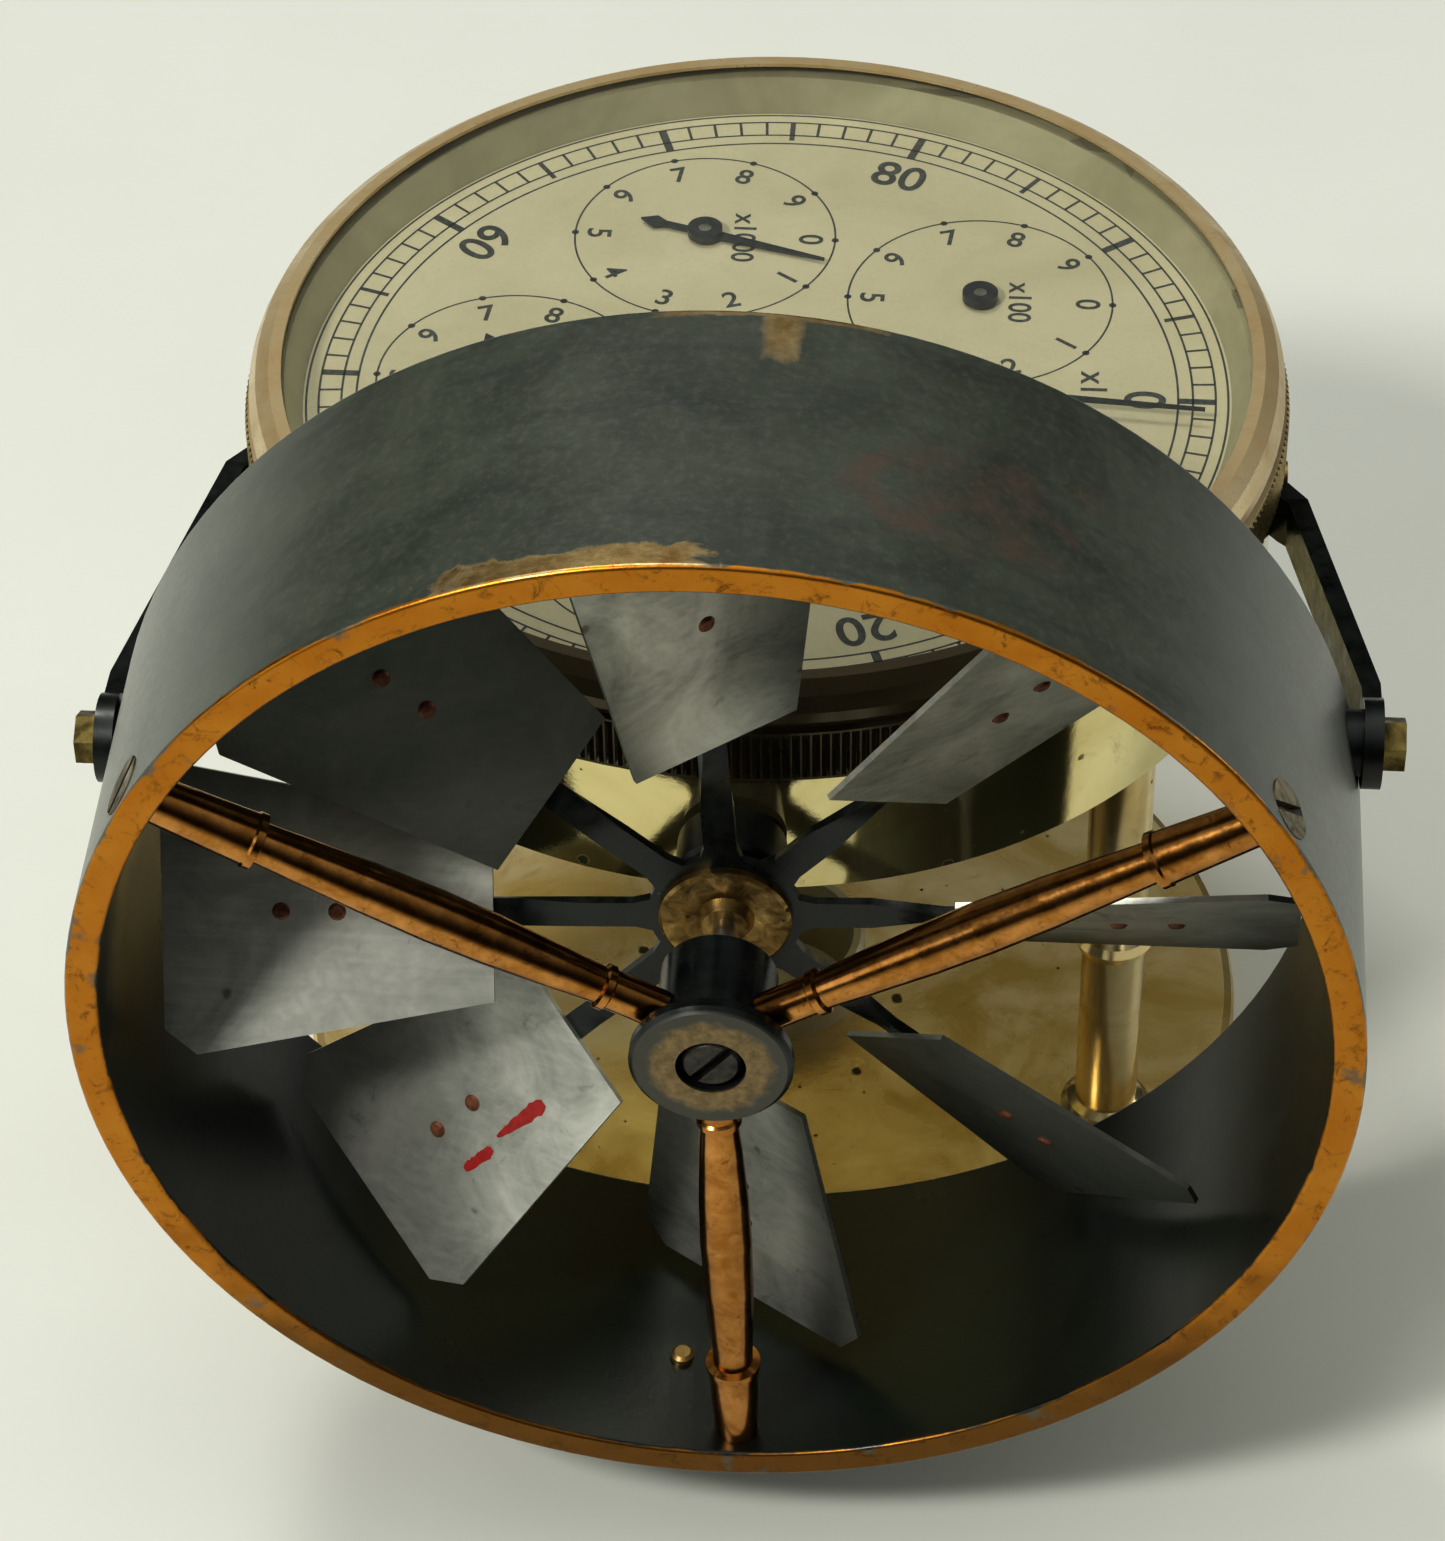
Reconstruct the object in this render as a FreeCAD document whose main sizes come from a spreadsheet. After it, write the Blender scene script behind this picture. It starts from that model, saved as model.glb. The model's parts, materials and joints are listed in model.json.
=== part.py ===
import FreeCAD, Part
import math
import os
import re

import Sketcher
from FreeCAD import Placement, Rotation, Vector

# Vane anemometer (air meter) on a round brass stand.
#
# Frame: millimetres, +Z up, origin at the centre of the stand's underside. The dial faces up and
# the fan faces -Y. The fan's axis lies in the plane X = 0, at a height of axis_height.
# Pieces of the fan are built about their own Z axis, which the fan frame points towards -Y.

SIZES = {
    # where the main groups stand
    "axis_height": 64.5,
    "ring_setback": 55.0,
    # fan ring and its three struts
    "ring_outer_dia": 104.0,
    "ring_wall": 2.7,
    "ring_width": 30.5,
    "strut_plane": 12.2,
    "strut_end": 49.25,
    "strut_count": 3,
    "strut_turn": 181.5,
    "collar_place": 40.2,
    "strut_screw_head_dia": 5.0,
    # front hub and bearing screw
    "hub_dia": 9.6,
    "hub_rear": 5.5,
    "flange_dia": 13.3,
    "flange_rear": 14.5,
    "flange_front": 16.15,
    "recess_dia": 5.7,
    "bearing_screw_dia": 4.8,
    "slot_width": 0.8,
    # fan
    "fan_rest_turn": 2.8,
    "vane_count": 8,
    "vane_pitch": 35.65,
    "vane_sheet": 0.5,
    "vane_inner": 19.2,
    "vane_shoulder": 44.2,
    "vane_tip": 46.9,
    "vane_inner_width": 15.0,
    "vane_outer_width": 24.2,
    "vane_tip_width": 20.0,
    "spider_plane": 1.55,
    "spider_sheet": 0.8,
    "arm_root_width": 2.7,
    "arm_end_width": 2.3,
    "twist_start": 12.0,
    "twist_end": 18.0,
    "arm_reach": 40.0,
    "rivet_inner": 32.2,
    "rivet_outer": 36.9,
    "rivet_dia": 0.9,
    "rivet_head_dia": 1.5,
    "shaft_dia": 2.0,
    "pivot_dia": 1.0,
    "running_gap": 0.04,
    "boss_dia": 11.0,
    "sleeve_dia": 9.2,
    "sleeve_spigot_dia": 6.0,
    # movement case, bezel and dial
    "case_dia": 90.0,
    "case_bore": 85.8,
    "neck_dia": 87.8,
    "case_floor": 58.5,
    "floor_thickness": 1.5,
    "case_shoulder": 72.0,
    "neck_top": 79.4,
    "bezel_dia": 91.4,
    "bezel_opening": 86.2,
    "bezel_top": 81.4,
    "knurl_top": 77.3,
    "dial_dia": 83.4,
    "dial_top": 76.8,
    "dial_sheet": 0.8,
    "glass_top": 81.0,
    "glass_sheet": 1.0,
    # stand
    "base_dia": 90.4,
    "base_thickness": 3.2,
    "pillar_circle": 36.5,
    "pillar_angle": 26.0,
    "pillar_dia": 5.8,
    "pillar_collar": 23.6,
    "socket_bore": 16.0,
    "socket_dia": 18.2,
    "socket_height": 9.2,
    # side arms from the ring to the case
    "arm_sheet": 1.6,
    "lug_dia": 7.5,
    "lug_inside": 51.4,
    "lug_y": -42.6,
    "lug_z": 73.7,
    "lug_rise": 2.4,
    "arm_bolt_dia": 2.2,
    "foot_z": 67.8,
    "arm_width": 5.0,
    "foot_sheet": 0.9,
    # movement
    "lower_plate": 67.6,
    "upper_plate": 74.5,
    "plate_sheet": 0.9,
    "plate_dia": 84.0,
    "post_circle": 38.5,
    "arbor_dia": 1.2,
    "centre_arbor_dia": 1.6,
    "worm_module": 0.5,
    "worm_radius": 2.0,
    "worm_teeth": 40,
    "drive_module": 1.0,
    "drive_leaves": 8,
    "drive_teeth": 40,
    "train_module": 1.1,
    "train_leaves": 6,
    "idler_teeth": 20,
    "counter_teeth": 18,
    "subdial_circle": 22.7,
    "wheel_sheet": 0.6,
    "first_level": 69.5,
    "level_step": 1.4,
    # hands
    "main_hand_reach": 38.6,
    "main_hand_turn": -4.5,
    "small_hand_reach": 11.6,
    "hand_sheet": 0.25,
}

STAGES = ("hundreds", "thousands", "ten_thousands", "hundred_thousands", "millions")
# heights (as level numbers) of each stage's idler wheel and counter wheel: neighbours never share one
STAGE_LEVELS = ((0, 1), (2, 0), (1, 2), (0, 1), (2, 3))
SMALL_HAND_TURNS = (0, -17.2, -64.0, 151.0, 88.0)

DOC = FreeCAD.newDocument("VaneAnemometer")
PIECES = []


def make_sheet():
    sheet = DOC.addObject("Spreadsheet::Sheet", "Sizes")
    for row, (alias, size) in enumerate(SIZES.items(), start=1):
        sheet.set(f"A{row}", alias)
        sheet.set(f"B{row}", str(size))
        sheet.setAlias(f"B{row}", alias)
    DOC.recompute()
    return sheet


SHEET = make_sheet()


def bound(expression):
    """The expression with each size's name written as a reference to its cell."""
    def cell(word):
        return "Sizes." + word.group() if word.group() in SIZES else word.group()
    return re.sub(r"[a-z][a-z_]+", cell, str(expression))


def value(expression):
    return float(SHEET.evalExpression(bound(expression)))


def drive(target, prop, expression):
    """Binds a property of an object to the sheet."""
    target.setExpression(prop, bound(expression))


def place(target, turn=Rotation(), x="0", y="0", z="0"):
    """Puts a piece at a bound position, turned by a fixed rotation."""
    target.Placement = Placement(Vector(value(x), value(y), value(z)), turn)
    for axis, expression in (("x", x), ("y", y), ("z", z)):
        if expression != "0":
            drive(target, "Placement.Base." + axis, expression)
    return target


def place_on_fan_axis(target, turn="0"):
    """Stands a piece that is built about Z on the fan's axis, with its +Z towards -Y."""
    forward = Rotation(Vector(1, 0, 0), 90)
    about_axis = Rotation(Vector(0, 0, 1), value(turn))
    return place(target, forward * about_axis, y="-ring_setback", z="axis_height")


def keep(piece, label):
    piece.Label = label
    PIECES.append(piece)
    return piece


# ---------------------------------------------------------------- sketches and features


def new_body(name):
    body = DOC.addObject("PartDesign::Body", name)
    body.AllowCompound = True
    return body


def origin_feature(body, role):
    return next(feature for feature in body.Origin.OriginFeatures if feature.Role == role)


def new_sketch(body, plane, offset=None):
    sketch = body.newObject("Sketcher::SketchObject", body.Name + "_sketch")
    sketch.AttachmentSupport = [(origin_feature(body, plane), "")]
    sketch.MapMode = "FlatFace"
    sketch.AttachmentOffset = offset or Placement()
    return sketch


def fix_point(sketch, geometry, point, x, y):
    for kind, expression in (("DistanceX", x), ("DistanceY", y)):
        index = sketch.addConstraint(Sketcher.Constraint(kind, geometry, point, value(expression)))
        sketch.setExpression(f"Constraints[{index}]", bound(expression))


def draw_polygon(sketch, corners):
    first = sketch.GeometryCount
    places = [Vector(value(x), value(y), 0) for x, y in corners]
    for index, start in enumerate(places):
        end = places[(index + 1) % len(places)]
        sketch.addGeometry(Part.LineSegment(start, end), False)
    for index, (x, y) in enumerate(corners):
        following = first + (index + 1) % len(corners)
        sketch.addConstraint(Sketcher.Constraint("Coincident", first + index, 2, following, 1))
        fix_point(sketch, first + index, 1, x, y)


def draw_circle(sketch, x, y, radius):
    circle = Part.Circle(Vector(value(x), value(y), 0), Vector(0, 0, 1), value(radius))
    index = sketch.addGeometry(circle, False)
    fix_point(sketch, index, 3, x, y)
    constraint = sketch.addConstraint(Sketcher.Constraint("Radius", index, value(radius)))
    sketch.setExpression(f"Constraints[{constraint}]", bound(radius))


def revolve(body, corners, plane="XZ_Plane", offset=None):
    """Turns an outline of (distance from the axis, place along the axis) about the sketch's
    vertical axis."""
    sketch = new_sketch(body, plane, offset)
    draw_polygon(sketch, corners)
    feature = body.newObject("PartDesign::Revolution", body.Name + "_turned")
    feature.Profile = sketch
    feature.ReferenceAxis = (sketch, ["V_Axis"])
    feature.Angle = 360
    return feature


def pad(body, sketch, length, midplane=False):
    feature = body.newObject("PartDesign::Pad", body.Name + "_pad")
    feature.Profile = sketch
    drive(feature, "Length", length)
    feature.Midplane = midplane
    return feature


def pocket_slot(body, length, width, depth, top, turn=0.0):
    """Cuts a screwdriver slot, length by width, into the face at height top."""
    face = Placement(Vector(0, 0, value(top)), Rotation(Vector(0, 0, 1), turn))
    sketch = new_sketch(body, "XY_Plane", face)
    signs = ((-1, -1), (1, -1), (1, 1), (-1, 1))
    corners = [(f"{a} * {length} / 2", f"{b} * {width} / 2") for a, b in signs]
    draw_polygon(sketch, corners)
    feature = body.newObject("PartDesign::Pocket", body.Name + "_slot")
    feature.Profile = sketch
    drive(feature, "Length", depth)
    return feature


def repeat(body, features, count):
    """Repeats features evenly about the body's Z axis."""
    feature = body.newObject("PartDesign::PolarPattern", body.Name + "_repeat")
    feature.Originals = features
    feature.Axis = (origin_feature(body, "Z_Axis"), [""])
    feature.Angle = 360
    drive(feature, "Occurrences", count)
    body.Tip = feature
    return feature


def soften(body, radius, wanted):
    """Rounds the circular edges that wanted(edge) picks."""
    DOC.recompute()
    last = body.Tip
    names = [f"Edge{n}" for n, edge in enumerate(last.Shape.Edges, start=1) if wanted(edge)]
    feature = body.newObject("PartDesign::Fillet", body.Name + "_softened")
    feature.Base = (last, names)
    drive(feature, "Radius", radius)
    return feature


def is_circle_at(edge, radius, height):
    if edge.Curve.TypeId != "Part::GeomCircle":
        return False
    same_radius = abs(edge.Curve.Radius - value(radius)) < 0.01
    return same_radius and abs(edge.Curve.Center.z - value(height)) < 0.01


def turned(label, corners):
    body = new_body(label)
    revolve(body, corners)
    return keep(body, label)


def cylinder(name, radius, length, at=("0", "0", "0"), along=Vector(0, 0, 1)):
    item = DOC.addObject("Part::Cylinder", name)
    drive(item, "Radius", radius)
    drive(item, "Height", length)
    return place(item, Rotation(Vector(0, 0, 1), along), *at)


def join(name, items):
    item = DOC.addObject("Part::MultiFuse", name)
    item.Shapes = items
    return item


def group(name, items):
    item = DOC.addObject("Part::Compound", name)
    item.Links = items
    return item


def cut(name, base, tools):
    item = DOC.addObject("Part::Cut", name)
    item.Base = base
    item.Tool = tools[0] if len(tools) == 1 else group(name + "_tools", tools)
    return item


def on_circle(radius, angle):
    """Bound X and Y of a point on a circle about Z."""
    return f"{radius} * cos({angle})", f"{radius} * sin({angle})"


# ---------------------------------------------------------------- fan ring, struts and hub


def fan_ring():
    blank = new_body("ring_blank")
    inner = "ring_outer_dia / 2 - ring_wall"
    outer = "ring_outer_dia / 2"
    half = "ring_width / 2"
    revolve(blank, [(inner, "-" + half), (outer, "-" + half), (outer, half), (inner, half)])
    soften(blank, "0.4", lambda edge: edge.Curve.TypeId == "Part::GeomCircle")
    drills = new_body("strut_screw_drill")
    head = "strut_screw_head_dia / 2 + 0.02"
    cone = [("0", "43"), ("1.02", "43"), ("1.02", "50.4"), (head, "51.9"), (head, "53"), ("0", "53")]
    hole = revolve(drills, cone, "XY_Plane", Placement(Vector(0, 0, value("strut_plane")), Rotation()))
    repeat(drills, [hole], "strut_count")
    place_on_fan_axis(blank)
    place_on_fan_axis(drills, "strut_turn")
    bolts = [
        cylinder("bolt_drill", "arm_bolt_dia / 2", "12", (f"{side} * 58", "lug_y", lug_height(side)),
                 Vector(-side, 0, 0))
        for side in (-1, 1)
    ]
    stop = cylinder("stop_drill", "1", "5", ("-4", "-ring_setback - 4.7", "axis_height - 54"))
    return keep(cut("fan_ring", blank, [drills, stop] + bolts), "fan_ring")


def ring_stop_screw():
    """A small screw left in the foot of the ring, just proud of its inner face."""
    body = turned("ring_stop_screw", [("0", "0"), ("1", "0"), ("1", "3.2"), ("0.7", "3.5"), ("0", "3.5")])
    place(body, x="-4", y="-ring_setback - 4.7", z="axis_height - 51.8")


def ring_struts():
    body = new_body("ring_struts")
    corners = [
        ("0", "3.4"), ("0.8", "3.4"), ("0.8", "4.8"), ("1.65", "4.8"), ("1.65", "9.4"), ("1.9", "9.6"),
        ("1.9", "10.2"), ("1.55", "10.4"), ("1.8", "14"), ("2.1", "20"), ("2.2", "25"), ("2.1", "31"),
        ("1.85", "37"), ("1.7", "collar_place"), ("2.35", "collar_place + 0.2"),
        ("2.35", "collar_place + 0.8"), ("2.2", "collar_place + 1.0"), ("1.9", "strut_end"),
        ("1.02", "strut_end"), ("1.02", "43"), ("0", "42.5"),
    ]
    strut = revolve(body, corners, "XY_Plane", Placement(Vector(0, 0, value("strut_plane")), Rotation()))
    repeat(body, [strut], "strut_count")
    place_on_fan_axis(keep(body, "ring_struts"), "strut_turn")


def strut_screws():
    body = new_body("strut_screws")
    head = "strut_screw_head_dia / 2"
    corners = [("0", "43.5"), ("1", "43.5"), ("1", "50.4"), (head, "51.9"), (head, "52.05"), ("0", "52.05")]
    screw = revolve(body, corners, "XY_Plane", Placement(Vector(0, 0, value("strut_plane")), Rotation()))
    face = Placement(Vector(0, 52.05, value("strut_plane")), Rotation(Vector(1, 0, 0), -90))
    sketch = new_sketch(body, "XY_Plane", face * Placement(Vector(), Rotation(Vector(0, 0, 1), 35)))
    draw_polygon(sketch, [("-3", "-slot_width / 2"), ("3", "-slot_width / 2"), ("3", "slot_width / 2"),
                          ("-3", "slot_width / 2")])
    slot = body.newObject("PartDesign::Pocket", "strut_screw_slot")
    slot.Profile = sketch
    slot.Length = 0.7
    repeat(body, [screw, slot], "strut_count")
    place_on_fan_axis(keep(body, "strut_screws"), "strut_turn")


def front_hub():
    blank = new_body("hub_blank")
    bore = "bearing_screw_dia / 2 + 0.02"
    flange = "flange_dia / 2"
    revolve(blank, [
        (bore, "hub_rear"), ("hub_dia / 2 - 0.4", "hub_rear"), ("hub_dia / 2", "hub_rear + 0.4"),
        ("hub_dia / 2", "flange_rear"), (flange + " - 0.3", "flange_rear"), (flange, "flange_rear + 0.3"),
        (flange, "flange_front - 0.5"), (flange + " - 0.5", "flange_front"),
        ("recess_dia / 2", "flange_front"),
        ("recess_dia / 2", "13.4"), (bore, "13.4"),
    ])
    drills = new_body("spigot_drill")
    hole = revolve(drills, [("0", "2"), ("0.81", "2"), ("0.81", "6"), ("0", "6")], "XY_Plane",
                   Placement(Vector(0, 0, value("strut_plane")), Rotation()))
    repeat(drills, [hole], "strut_count")
    place_on_fan_axis(blank)
    place_on_fan_axis(drills, "strut_turn")
    return keep(cut("front_hub", blank, [drills]), "front_hub")


def bearing_screw():
    """The screw in the hub: its rear end holds the fan arbor's front pivot."""
    body = new_body("bearing_screw")
    outer = "bearing_screw_dia / 2"
    cup = "pivot_dia / 2 + running_gap"
    revolve(body, [
        (cup, "6.0"), (outer, "6.0"), (outer, "15.6"), (outer + " - 0.25", "15.85"), ("0", "15.85"),
        ("0", "7.8"), (cup, "7.8"),
    ])
    pocket_slot(body, "6", "slot_width", "0.9", "15.85", 50)
    place_on_fan_axis(keep(body, "bearing_screw"))


# ---------------------------------------------------------------- fan


def fan_arbor():
    """One long spindle: front pivot in the bearing screw, rear pivot in the cock."""
    shaft = "shaft_dia / 2"
    pivot = "pivot_dia / 2"
    body = turned("fan_arbor", [
        ("0", "-39.2"), (pivot, "-39.2"), (pivot, "-37.4"), (shaft, "-37.2"), (shaft, "5.7"),
        (pivot, "5.9"), (pivot, "7.5"), ("0", "7.7"),
    ])
    place_on_fan_axis(body)


def worm_arbor_place():
    """X and Y of the worm wheel's arbor: beside the fan arbor, in mesh with the centre wheel."""
    x = -value("worm_module * worm_teeth / 2 + worm_radius")
    reach = value("drive_module * (drive_leaves + drive_teeth) / 2")
    return x, -math.sqrt(reach * reach - x * x)


def fan_worm():
    """A right-hand worm of one start, pressed on the arbor."""
    body = new_body("fan_worm")
    lead = value("pi * worm_module")
    length = 4 * lead
    inner = "shaft_dia / 2"
    revolve(body, [(inner, "0"), ("1.45", "0"), ("1.45", str(length)), (inner, str(length))])
    sketch = new_sketch(body, "XZ_Plane")
    middle = lead
    draw_polygon(sketch, [
        ("1.4", str(middle - 0.3)), ("2.4", str(middle - 0.12)), ("2.4", str(middle + 0.12)),
        ("1.4", str(middle + 0.3)),
    ])
    thread = body.newObject("PartDesign::AdditiveHelix", "worm_thread")
    thread.Profile = sketch
    thread.ReferenceAxis = (sketch, ["V_Axis"])
    thread.Mode = 0
    thread.Pitch = lead
    thread.Height = 2 * lead
    keep(body, "fan_worm")
    turn = Rotation(Vector(1, 0, 0), 90) * Rotation(Vector(0, 0, 1), 180)
    middle_y = worm_arbor_place()[1]
    place(body, turn, y=str(middle_y + length / 2), z="axis_height")


def fan_boss():
    """The brass boss that carries the spider: a dished front flange on a neck."""
    outer = "boss_dia / 2"
    body = turned("fan_boss", [
        ("shaft_dia / 2", "-4.0"), ("2.4", "-4.0"), ("2.4", "-1.95"), ("3", "-1.95"), ("3", "-1.15"),
        (outer, "-1.15"), (outer, "-0.5"), (outer + " - 0.3", "-0.3"), ("2.4", "-0.75"), ("1.9", "0.2"),
        ("shaft_dia / 2", "0.2"),
    ])
    place_on_fan_axis(body, "fan_rest_turn")


def fan_spider():
    """A flat star whose arms twist to the vanes' pitch."""
    body = new_body("fan_spider")
    middle = -value("spider_plane")
    sheet = value("spider_sheet")
    disc = new_sketch(body, "XY_Plane", Placement(Vector(0, 0, middle - sheet / 2), Rotation()))
    draw_circle(disc, "0", "0", "6.4")
    draw_circle(disc, "0", "0", "3.0")
    pad(body, disc, "spider_sheet")
    root = new_sketch(body, "XY_Plane", Placement(Vector(0, 0, middle - sheet / 2), Rotation()))
    draw_polygon(root, [
        ("5.0", "-2.1"), ("7.6", "-arm_root_width / 2"), ("twist_start", "-arm_root_width / 2"),
        ("twist_start", "arm_root_width / 2"), ("7.6", "arm_root_width / 2"), ("5.0", "2.1"),
    ])
    arm = pad(body, root, "spider_sheet")
    sections = []
    ends = (("twist_start", "arm_root_width", 0.0), ("twist_end", "arm_end_width", 1.0))
    for reach, width, pitch in ends:
        turn = Rotation(Vector(0, 0, 1), pitch * value("vane_pitch"))
        section = new_sketch(body, "YZ_Plane", Placement(Vector(0, middle, value(reach)), turn))
        draw_polygon(section, [
            (f"-{width} / 2", "-spider_sheet / 2"), (f"{width} / 2", "-spider_sheet / 2"),
            (f"{width} / 2", "spider_sheet / 2"), (f"-{width} / 2", "spider_sheet / 2"),
        ])
        sections.append(section)
    twist = body.newObject("PartDesign::AdditiveLoft", "arm_twist")
    twist.Profile = sections[0]
    twist.Sections = [sections[1]]
    twist.Ruled = True
    outer = new_sketch(body, "XY_Plane", vane_frame("-spider_sheet / 2"))
    draw_polygon(outer, [
        ("twist_end", "-arm_end_width / 2"), ("arm_reach", "-arm_end_width / 2"),
        ("arm_reach", "arm_end_width / 2"), ("twist_end", "arm_end_width / 2"),
    ])
    for rivet in ("rivet_inner", "rivet_outer"):
        draw_circle(outer, rivet, "0", "rivet_dia / 2")
    blade = pad(body, outer, "spider_sheet")
    repeat(body, [arm, twist, blade], "vane_count")
    place_on_fan_axis(keep(body, "fan_spider"), "fan_rest_turn")


def vane_frame(height):
    """A plane in line with a vane along +X, a bound height in front of the arm's middle."""
    tilt = Rotation(Vector(1, 0, 0), value("vane_pitch"))
    start = Vector(0, 0, -value("spider_plane"))
    return Placement(start + tilt.multVec(Vector(0, 0, value(height))), tilt)


def fan_vanes():
    body = new_body("fan_vanes")
    sketch = new_sketch(body, "XY_Plane", vane_frame("spider_sheet / 2"))
    draw_polygon(sketch, [
        ("vane_inner", "-vane_inner_width / 2"), ("vane_shoulder", "-vane_outer_width / 2"),
        ("vane_tip", "-vane_tip_width / 2"), ("vane_tip", "vane_tip_width / 2"),
        ("vane_shoulder", "vane_outer_width / 2"), ("vane_inner", "vane_inner_width / 2"),
    ])
    for rivet in ("rivet_inner", "rivet_outer"):
        draw_circle(sketch, rivet, "0", "rivet_dia / 2")
    repeat(body, [pad(body, sketch, "vane_sheet")], "vane_count")
    place_on_fan_axis(keep(body, "fan_vanes"), "fan_rest_turn")


def vane_rivets():
    body = new_body("vane_rivets")
    rear = "-spider_sheet / 2"
    front = "spider_sheet / 2 + vane_sheet"
    shank = "rivet_dia / 2"
    head = "rivet_head_dia / 2"
    corners = [
        ("0", rear + " - 0.3"), ("0.5", rear + " - 0.25"), (head, rear), (shank, rear), (shank, front),
        (head, front), ("0.5", front + " + 0.25"), ("0", front + " + 0.3"),
    ]
    upright = Rotation(Vector(1, 0, 0), 90)
    rivets = []
    for reach in ("rivet_inner", "rivet_outer"):
        frame = vane_frame("0") * Placement(Vector(value(reach), 0, 0), upright)
        rivets.append(revolve(body, corners, "XY_Plane", frame))
    repeat(body, rivets, "vane_count")
    place_on_fan_axis(keep(body, "vane_rivets"), "fan_rest_turn")


def rear_sleeve():
    """The tube that joins the case's front to the fan's rear, saddled to the round wall."""
    spigot = "sleeve_spigot_dia / 2"
    tube = new_body("sleeve_blank")
    revolve(tube, [
        ("2", "-13.5"), (spigot, "-13.5"), (spigot, "-9.4"), ("sleeve_dia / 2", "-9.4"),
        ("sleeve_dia / 2", "-5.2"), ("sleeve_dia / 2 - 0.4", "-4.8"), ("2", "-4.8"),
    ])
    place_on_fan_axis(tube)
    wall = cylinder("sleeve_saddle", "case_dia / 2", "40", ("0", "0", "axis_height - 20"))
    core = cylinder("sleeve_core", spigot, "12", ("0", "-39", "axis_height"), Vector(0, -1, 0))
    saddle = cut("saddle_tool", wall, [core])
    return keep(cut("rear_sleeve", tube, [saddle]), "rear_sleeve")


def rear_bush():
    gap = "shaft_dia / 2 + running_gap"
    body = turned("rear_bush", [(gap, "-13.5"), ("2", "-13.5"), ("2", "-8.0"), (gap, "-8.0")])
    place_on_fan_axis(body)


# ---------------------------------------------------------------- case, bezel and dial


def case_drum():
    blank = new_body("drum_blank")
    wall, bore, neck = "case_dia / 2", "case_bore / 2", "neck_dia / 2"
    revolve(blank, [
        ("0", "case_floor"), (wall + " - 0.6", "case_floor"), (wall, "case_floor + 0.6"),
        (wall, "case_shoulder"), (neck, "case_shoulder"), (neck, "neck_top"), (bore, "neck_top"),
        (bore, "case_floor + floor_thickness"), ("0", "case_floor + floor_thickness"),
    ])
    start = ("0", "-39", "axis_height")
    tools = [cylinder("sleeve_drill", "sleeve_spigot_dia / 2", "10", start, Vector(0, -1, 0))]
    for angle in pillar_angles():
        x, y = on_circle("pillar_circle", angle)
        tools.append(cylinder("stud_drill", "1.25", "4", (x, y, "case_floor - 1")))
    for angle in foot_screw_angles():
        x, y = on_circle("42", angle)
        outward = Vector(math.cos(math.radians(angle)), math.sin(math.radians(angle)), 0)
        tools.append(cylinder("foot_drill", "0.75", "5", (x, y, "foot_z"), outward))
    for place_name, (x, y) in floor_pivots().items():
        tools.append(cylinder(place_name, "pivot_dia / 2 + running_gap", "0.9",
                              (str(x), str(y), "case_floor + 0.6")))
    for angle in (0, 120, 240):
        x, y = on_circle("post_circle", angle)
        tools.append(cylinder("post_drill", "1.02", "2.5", (x, y, "case_floor - 0.5")))
    return keep(cut("case_drum", blank, tools), "case_drum")


def floor_pivots():
    return {"centre_pivot_drill": (0.0, 0.0), "worm_pivot_drill": worm_arbor_place()}


def bezel():
    body = new_body("bezel")
    outer = "bezel_dia / 2"
    lip = "bezel_opening / 2"
    skirt = "neck_dia / 2 + 0.05"
    revolve(body, [
        (skirt, "case_shoulder + 0.1"), (outer, "case_shoulder + 0.1"), (outer, "knurl_top"),
        (outer + " - 0.5", "knurl_top + 0.2"), (outer + " - 0.2", "knurl_top + 0.9"),
        (outer + " - 0.25", "bezel_top - 2.2"), (outer + " - 0.9", "bezel_top - 0.9"),
        (outer + " - 2.1", "bezel_top"), (lip + " - 0.6", "bezel_top"), (lip + " - 0.6", "bezel_top - 0.35"),
        (skirt, "bezel_top - 0.35"),
    ])
    return keep(body, "bezel")


def dial_glass():
    edge = "neck_dia / 2"
    body = turned("dial_glass", [
        ("0", "glass_top - glass_sheet"), (edge, "glass_top - glass_sheet"), (edge, "glass_top"),
        ("0", "glass_top"),
    ])
    return body


def rehaut_ring():
    """The sloping ring between the dial's edge and the glass."""
    return turned("rehaut_ring", [
        ("dial_dia / 2 - 0.8", "dial_top + 0.05"), ("case_bore / 2 - 0.05", "dial_top + 0.05"),
        ("case_bore / 2 - 0.05", "neck_top"), ("neck_dia / 2", "neck_top"),
        ("neck_dia / 2", "glass_top - glass_sheet"), ("case_bore / 2 - 0.6", "glass_top - glass_sheet"),
    ])


def dial_plate():
    body = new_body("dial_plate")
    underside = Placement(Vector(0, 0, value("dial_top - dial_sheet")), Rotation())
    sketch = new_sketch(body, "XY_Plane", underside)
    draw_circle(sketch, "0", "0", "dial_dia / 2")
    draw_circle(sketch, "0", "0", "1.1")
    for stage in range(len(STAGES)):
        x, y = on_circle("subdial_circle", 36 + 72 * stage)
        draw_circle(sketch, x, y, "0.9")
    pad(body, sketch, "dial_sheet")
    feet = new_sketch(body, "XY_Plane", Placement(Vector(0, 0, value("upper_plate")), Rotation()))
    for angle in (60, 180, 300):
        x, y = on_circle("post_circle", angle)
        draw_circle(feet, x, y, "1")
    pad(body, feet, "dial_top - dial_sheet - upper_plate")
    return keep(body, "dial_plate")


# ---------------------------------------------------------------- stand


def pillar_angles():
    lean = value("pillar_angle")
    return -lean, 90.0, 180.0 + lean


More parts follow.
